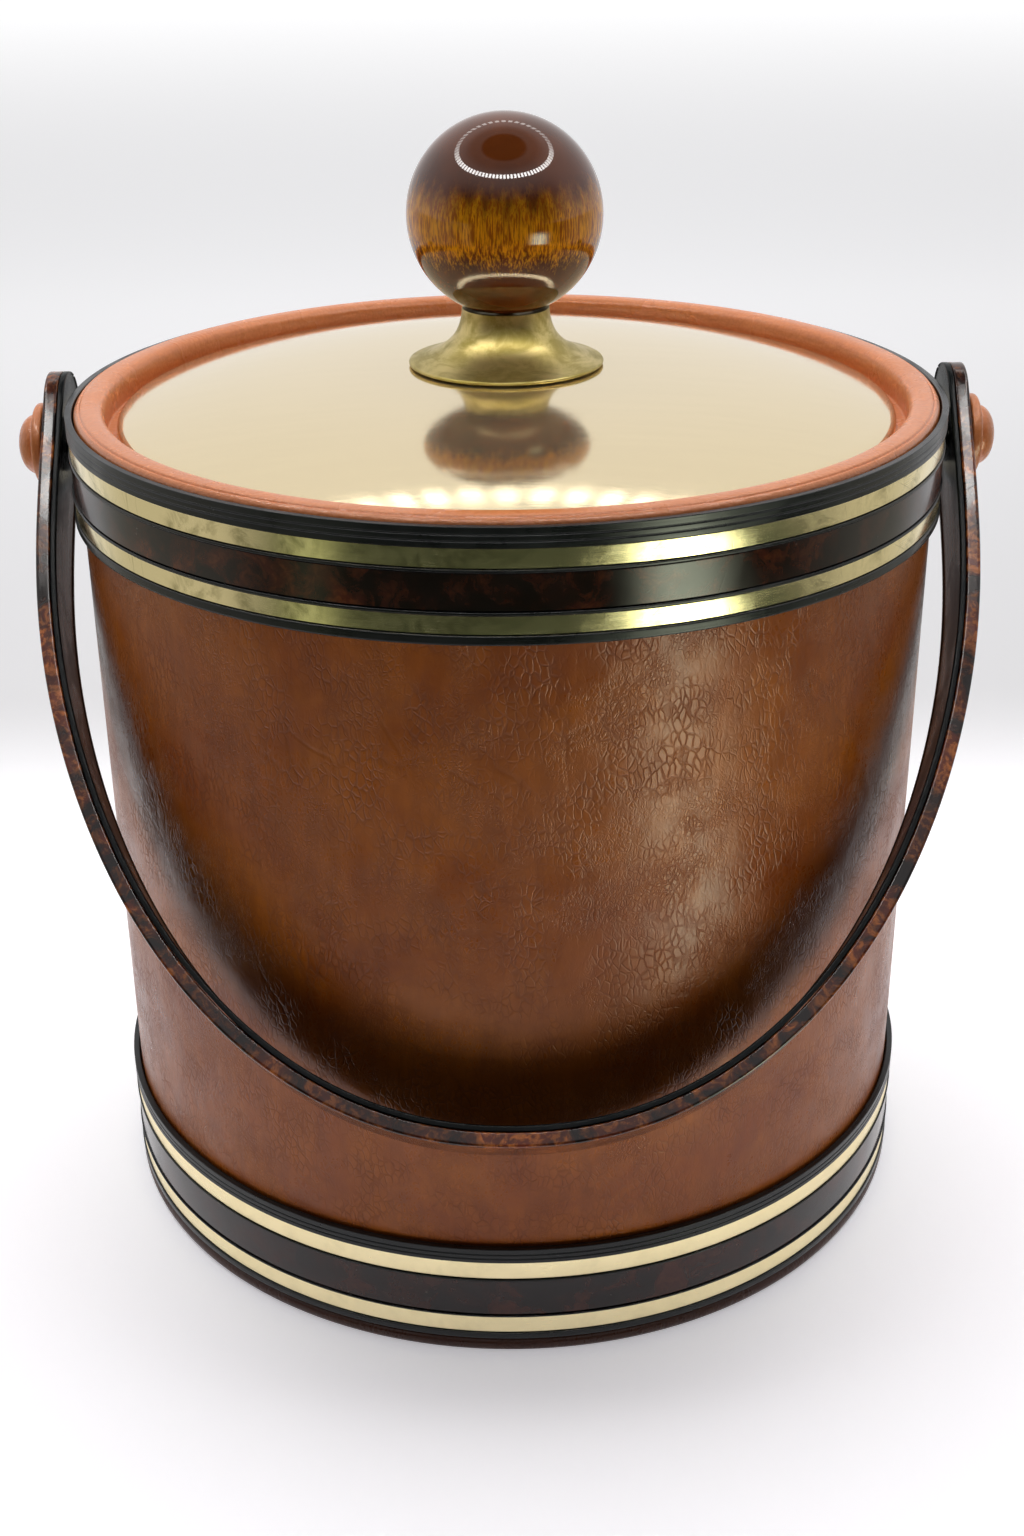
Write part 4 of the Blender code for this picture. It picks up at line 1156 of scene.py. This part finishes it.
        count = 96
        around = np.linspace(0.0, TURN, count, endpoint=False)
        rings = [np.stack([reach * np.cos(around) + shift_x, reach * np.sin(around) + shift_y,
                           np.full(count, 0.001)], axis=1)
                 for reach, shift_x, shift_y in ((0.27, -0.02, 0.06), (5.0, 0.0, 0.0))]
        near = np.arange(count)
        following = np.roll(near, -1)
        faces = np.stack([near, near + count, following + count, following], axis=1)
        stage_piece("far_floor", np.concatenate(rings).tolist(), faces.tolist(), material, True)

    def soft_lamp(self):
        """Soft lamp overhead that glossy faces don't see."""
        key = bpy.data.lights.new("soft_top", "AREA")
        key.shape, key.size, key.size_y, key.energy = "RECTANGLE", 1.0, 0.7, 7.2
        lamp = bpy.data.objects.new("soft_top", key)
        lamp.location = (-0.05, 0.2, 0.95)
        lamp.visible_glossy = False
        bpy.context.scene.collection.objects.link(lamp)

    def surroundings(self, scene):
        """World: pale to the camera, even for matte light, and a tent open in front for gloss."""
        scene.world = bpy.data.worlds.new("light_tent")
        tree = emptied(scene.world)
        direction = tree.nodes.new("ShaderNodeTexCoord").outputs["Generated"]
        parts = add(tree, "ShaderNodeSeparateXYZ", {0: direction}).outputs
        dim = times(tree, spread(tree, parts["Y"], -0.65, 0.05, 1.0, 0.0),
                    spread(tree, parts["Z"], 0.35, 0.8, 1.0, 0.0))
        tent = graded(tree, parts["Z"], blended(tree, dim, (0.90, 0.895, 0.905), (0.03, 0.03, 0.03)),
                      (0.78, 0.90, (0.42, 0.41, 0.40)), (0.93, 0.955, (0.02, 0.02, 0.02)))
        matte = blended(tree, spread(tree, parts["Y"], -0.6, 0.2, 1.0, 0.0), (0.62, 0.615, 0.625),
                        (0.05, 0.05, 0.05))
        rays = tree.nodes.new("ShaderNodeLightPath").outputs
        seen, even, shine = (add(tree, "ShaderNodeBackground", {"Color": tone}).outputs[0]
                             for tone in ((0.90, 0.90, 0.905, 1.0), matte, tent))
        chosen = add(tree, "ShaderNodeMixShader", {0: rays["Is Glossy Ray"], 1: even, 2: shine})
        chosen = add(tree, "ShaderNodeMixShader", {0: rays["Is Camera Ray"], 1: chosen.outputs[0],
                                                   2: seen})
        end_with(tree, "ShaderNodeOutputWorld", chosen)

    def camera(self, scene, stage):
        """Camera that looks down at the axis from the front, leaned by its roll."""
        yaw = stage.swing + stage.aim
        data = bpy.data.cameras.new("camera")
        data.lens, data.sensor_width, data.sensor_fit = stage.lens, 36.0, "AUTO"
        data.shift_y, data.clip_start = stage.shift, 0.01
        forward = np.array([math.sin(yaw) * math.cos(stage.pitch),
                            math.cos(yaw) * math.cos(stage.pitch), -math.sin(stage.pitch)])
        right = np.array([math.cos(yaw), -math.sin(yaw), 0.0])
        up = np.cross(right, forward)
        lean, upright = math.sin(stage.roll), math.cos(stage.roll)
        stand = (-stage.away * math.sin(stage.swing), -stage.away * math.cos(stage.swing), stage.height)
        axes = [upright * right + lean * up, upright * up - lean * right, -forward, stand]
        rows = [[float(axis[k]) for axis in axes] for k in range(3)] + [[0.0, 0.0, 0.0, 1.0]]
        camera = bpy.data.objects.new("camera", data)
        scene.collection.objects.link(camera)
        camera.matrix_world = Matrix(rows)
        scene.camera = camera


STEPS = (BUCKET_OT_effects, BUCKET_OT_cover, BUCKET_OT_bands, BUCKET_OT_liner, BUCKET_OT_lid,
         BUCKET_OT_knob, BUCKET_OT_pivots, BUCKET_OT_bail, BUCKET_OT_hidden, BUCKET_OT_stage)


class BUCKET_PT_panel(bpy.types.Panel):
    """Buttons that make each group of pieces, and the sizes and colours they use"""
    bl_label = "Ice Bucket"
    bl_idname = "BUCKET_PT_panel"
    bl_space_type = "VIEW_3D"
    bl_region_type = "UI"
    bl_category = "Ice Bucket"

    def draw(self, context):
        """List the operators, then the properties."""
        layout = self.layout
        for step in STEPS:
            layout.operator(step.bl_idname)
        for group in (context.scene.bucket_sizes, context.scene.bucket_colours,
                      context.scene.bucket_stage):
            box = layout.box()
            for name in group.__annotations__:
                box.prop(group, name)


GROUPS = {"bucket_sizes": BucketSizes, "bucket_colours": BucketColours, "bucket_stage": StageSizes}


def register():
    """Register the property groups, operators and panel."""
    for name, group in GROUPS.items():
        bpy.utils.register_class(group)
        setattr(bpy.types.Scene, name, bpy.props.PointerProperty(type=group))
    for step in STEPS:
        bpy.utils.register_class(step)
    bpy.utils.register_class(BUCKET_PT_panel)


def unregister():
    """Unregister everything in the opposite order."""
    bpy.utils.unregister_class(BUCKET_PT_panel)
    for step in reversed(STEPS):
        bpy.utils.unregister_class(step)
    for name, group in reversed(GROUPS.items()):
        delattr(bpy.types.Scene, name)
        bpy.utils.unregister_class(group)


def main():
    """Register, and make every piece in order."""
    register()
    bpy.ops.bucket.effects()
    bpy.ops.bucket.cover()
    bpy.ops.bucket.bands()
    bpy.ops.bucket.liner()
    bpy.ops.bucket.lid()
    bpy.ops.bucket.knob()
    bpy.ops.bucket.pivots()
    bpy.ops.bucket.bail()
    bpy.ops.bucket.hidden()
    bpy.ops.bucket.stage()


if __name__ == "__main__":
    main()
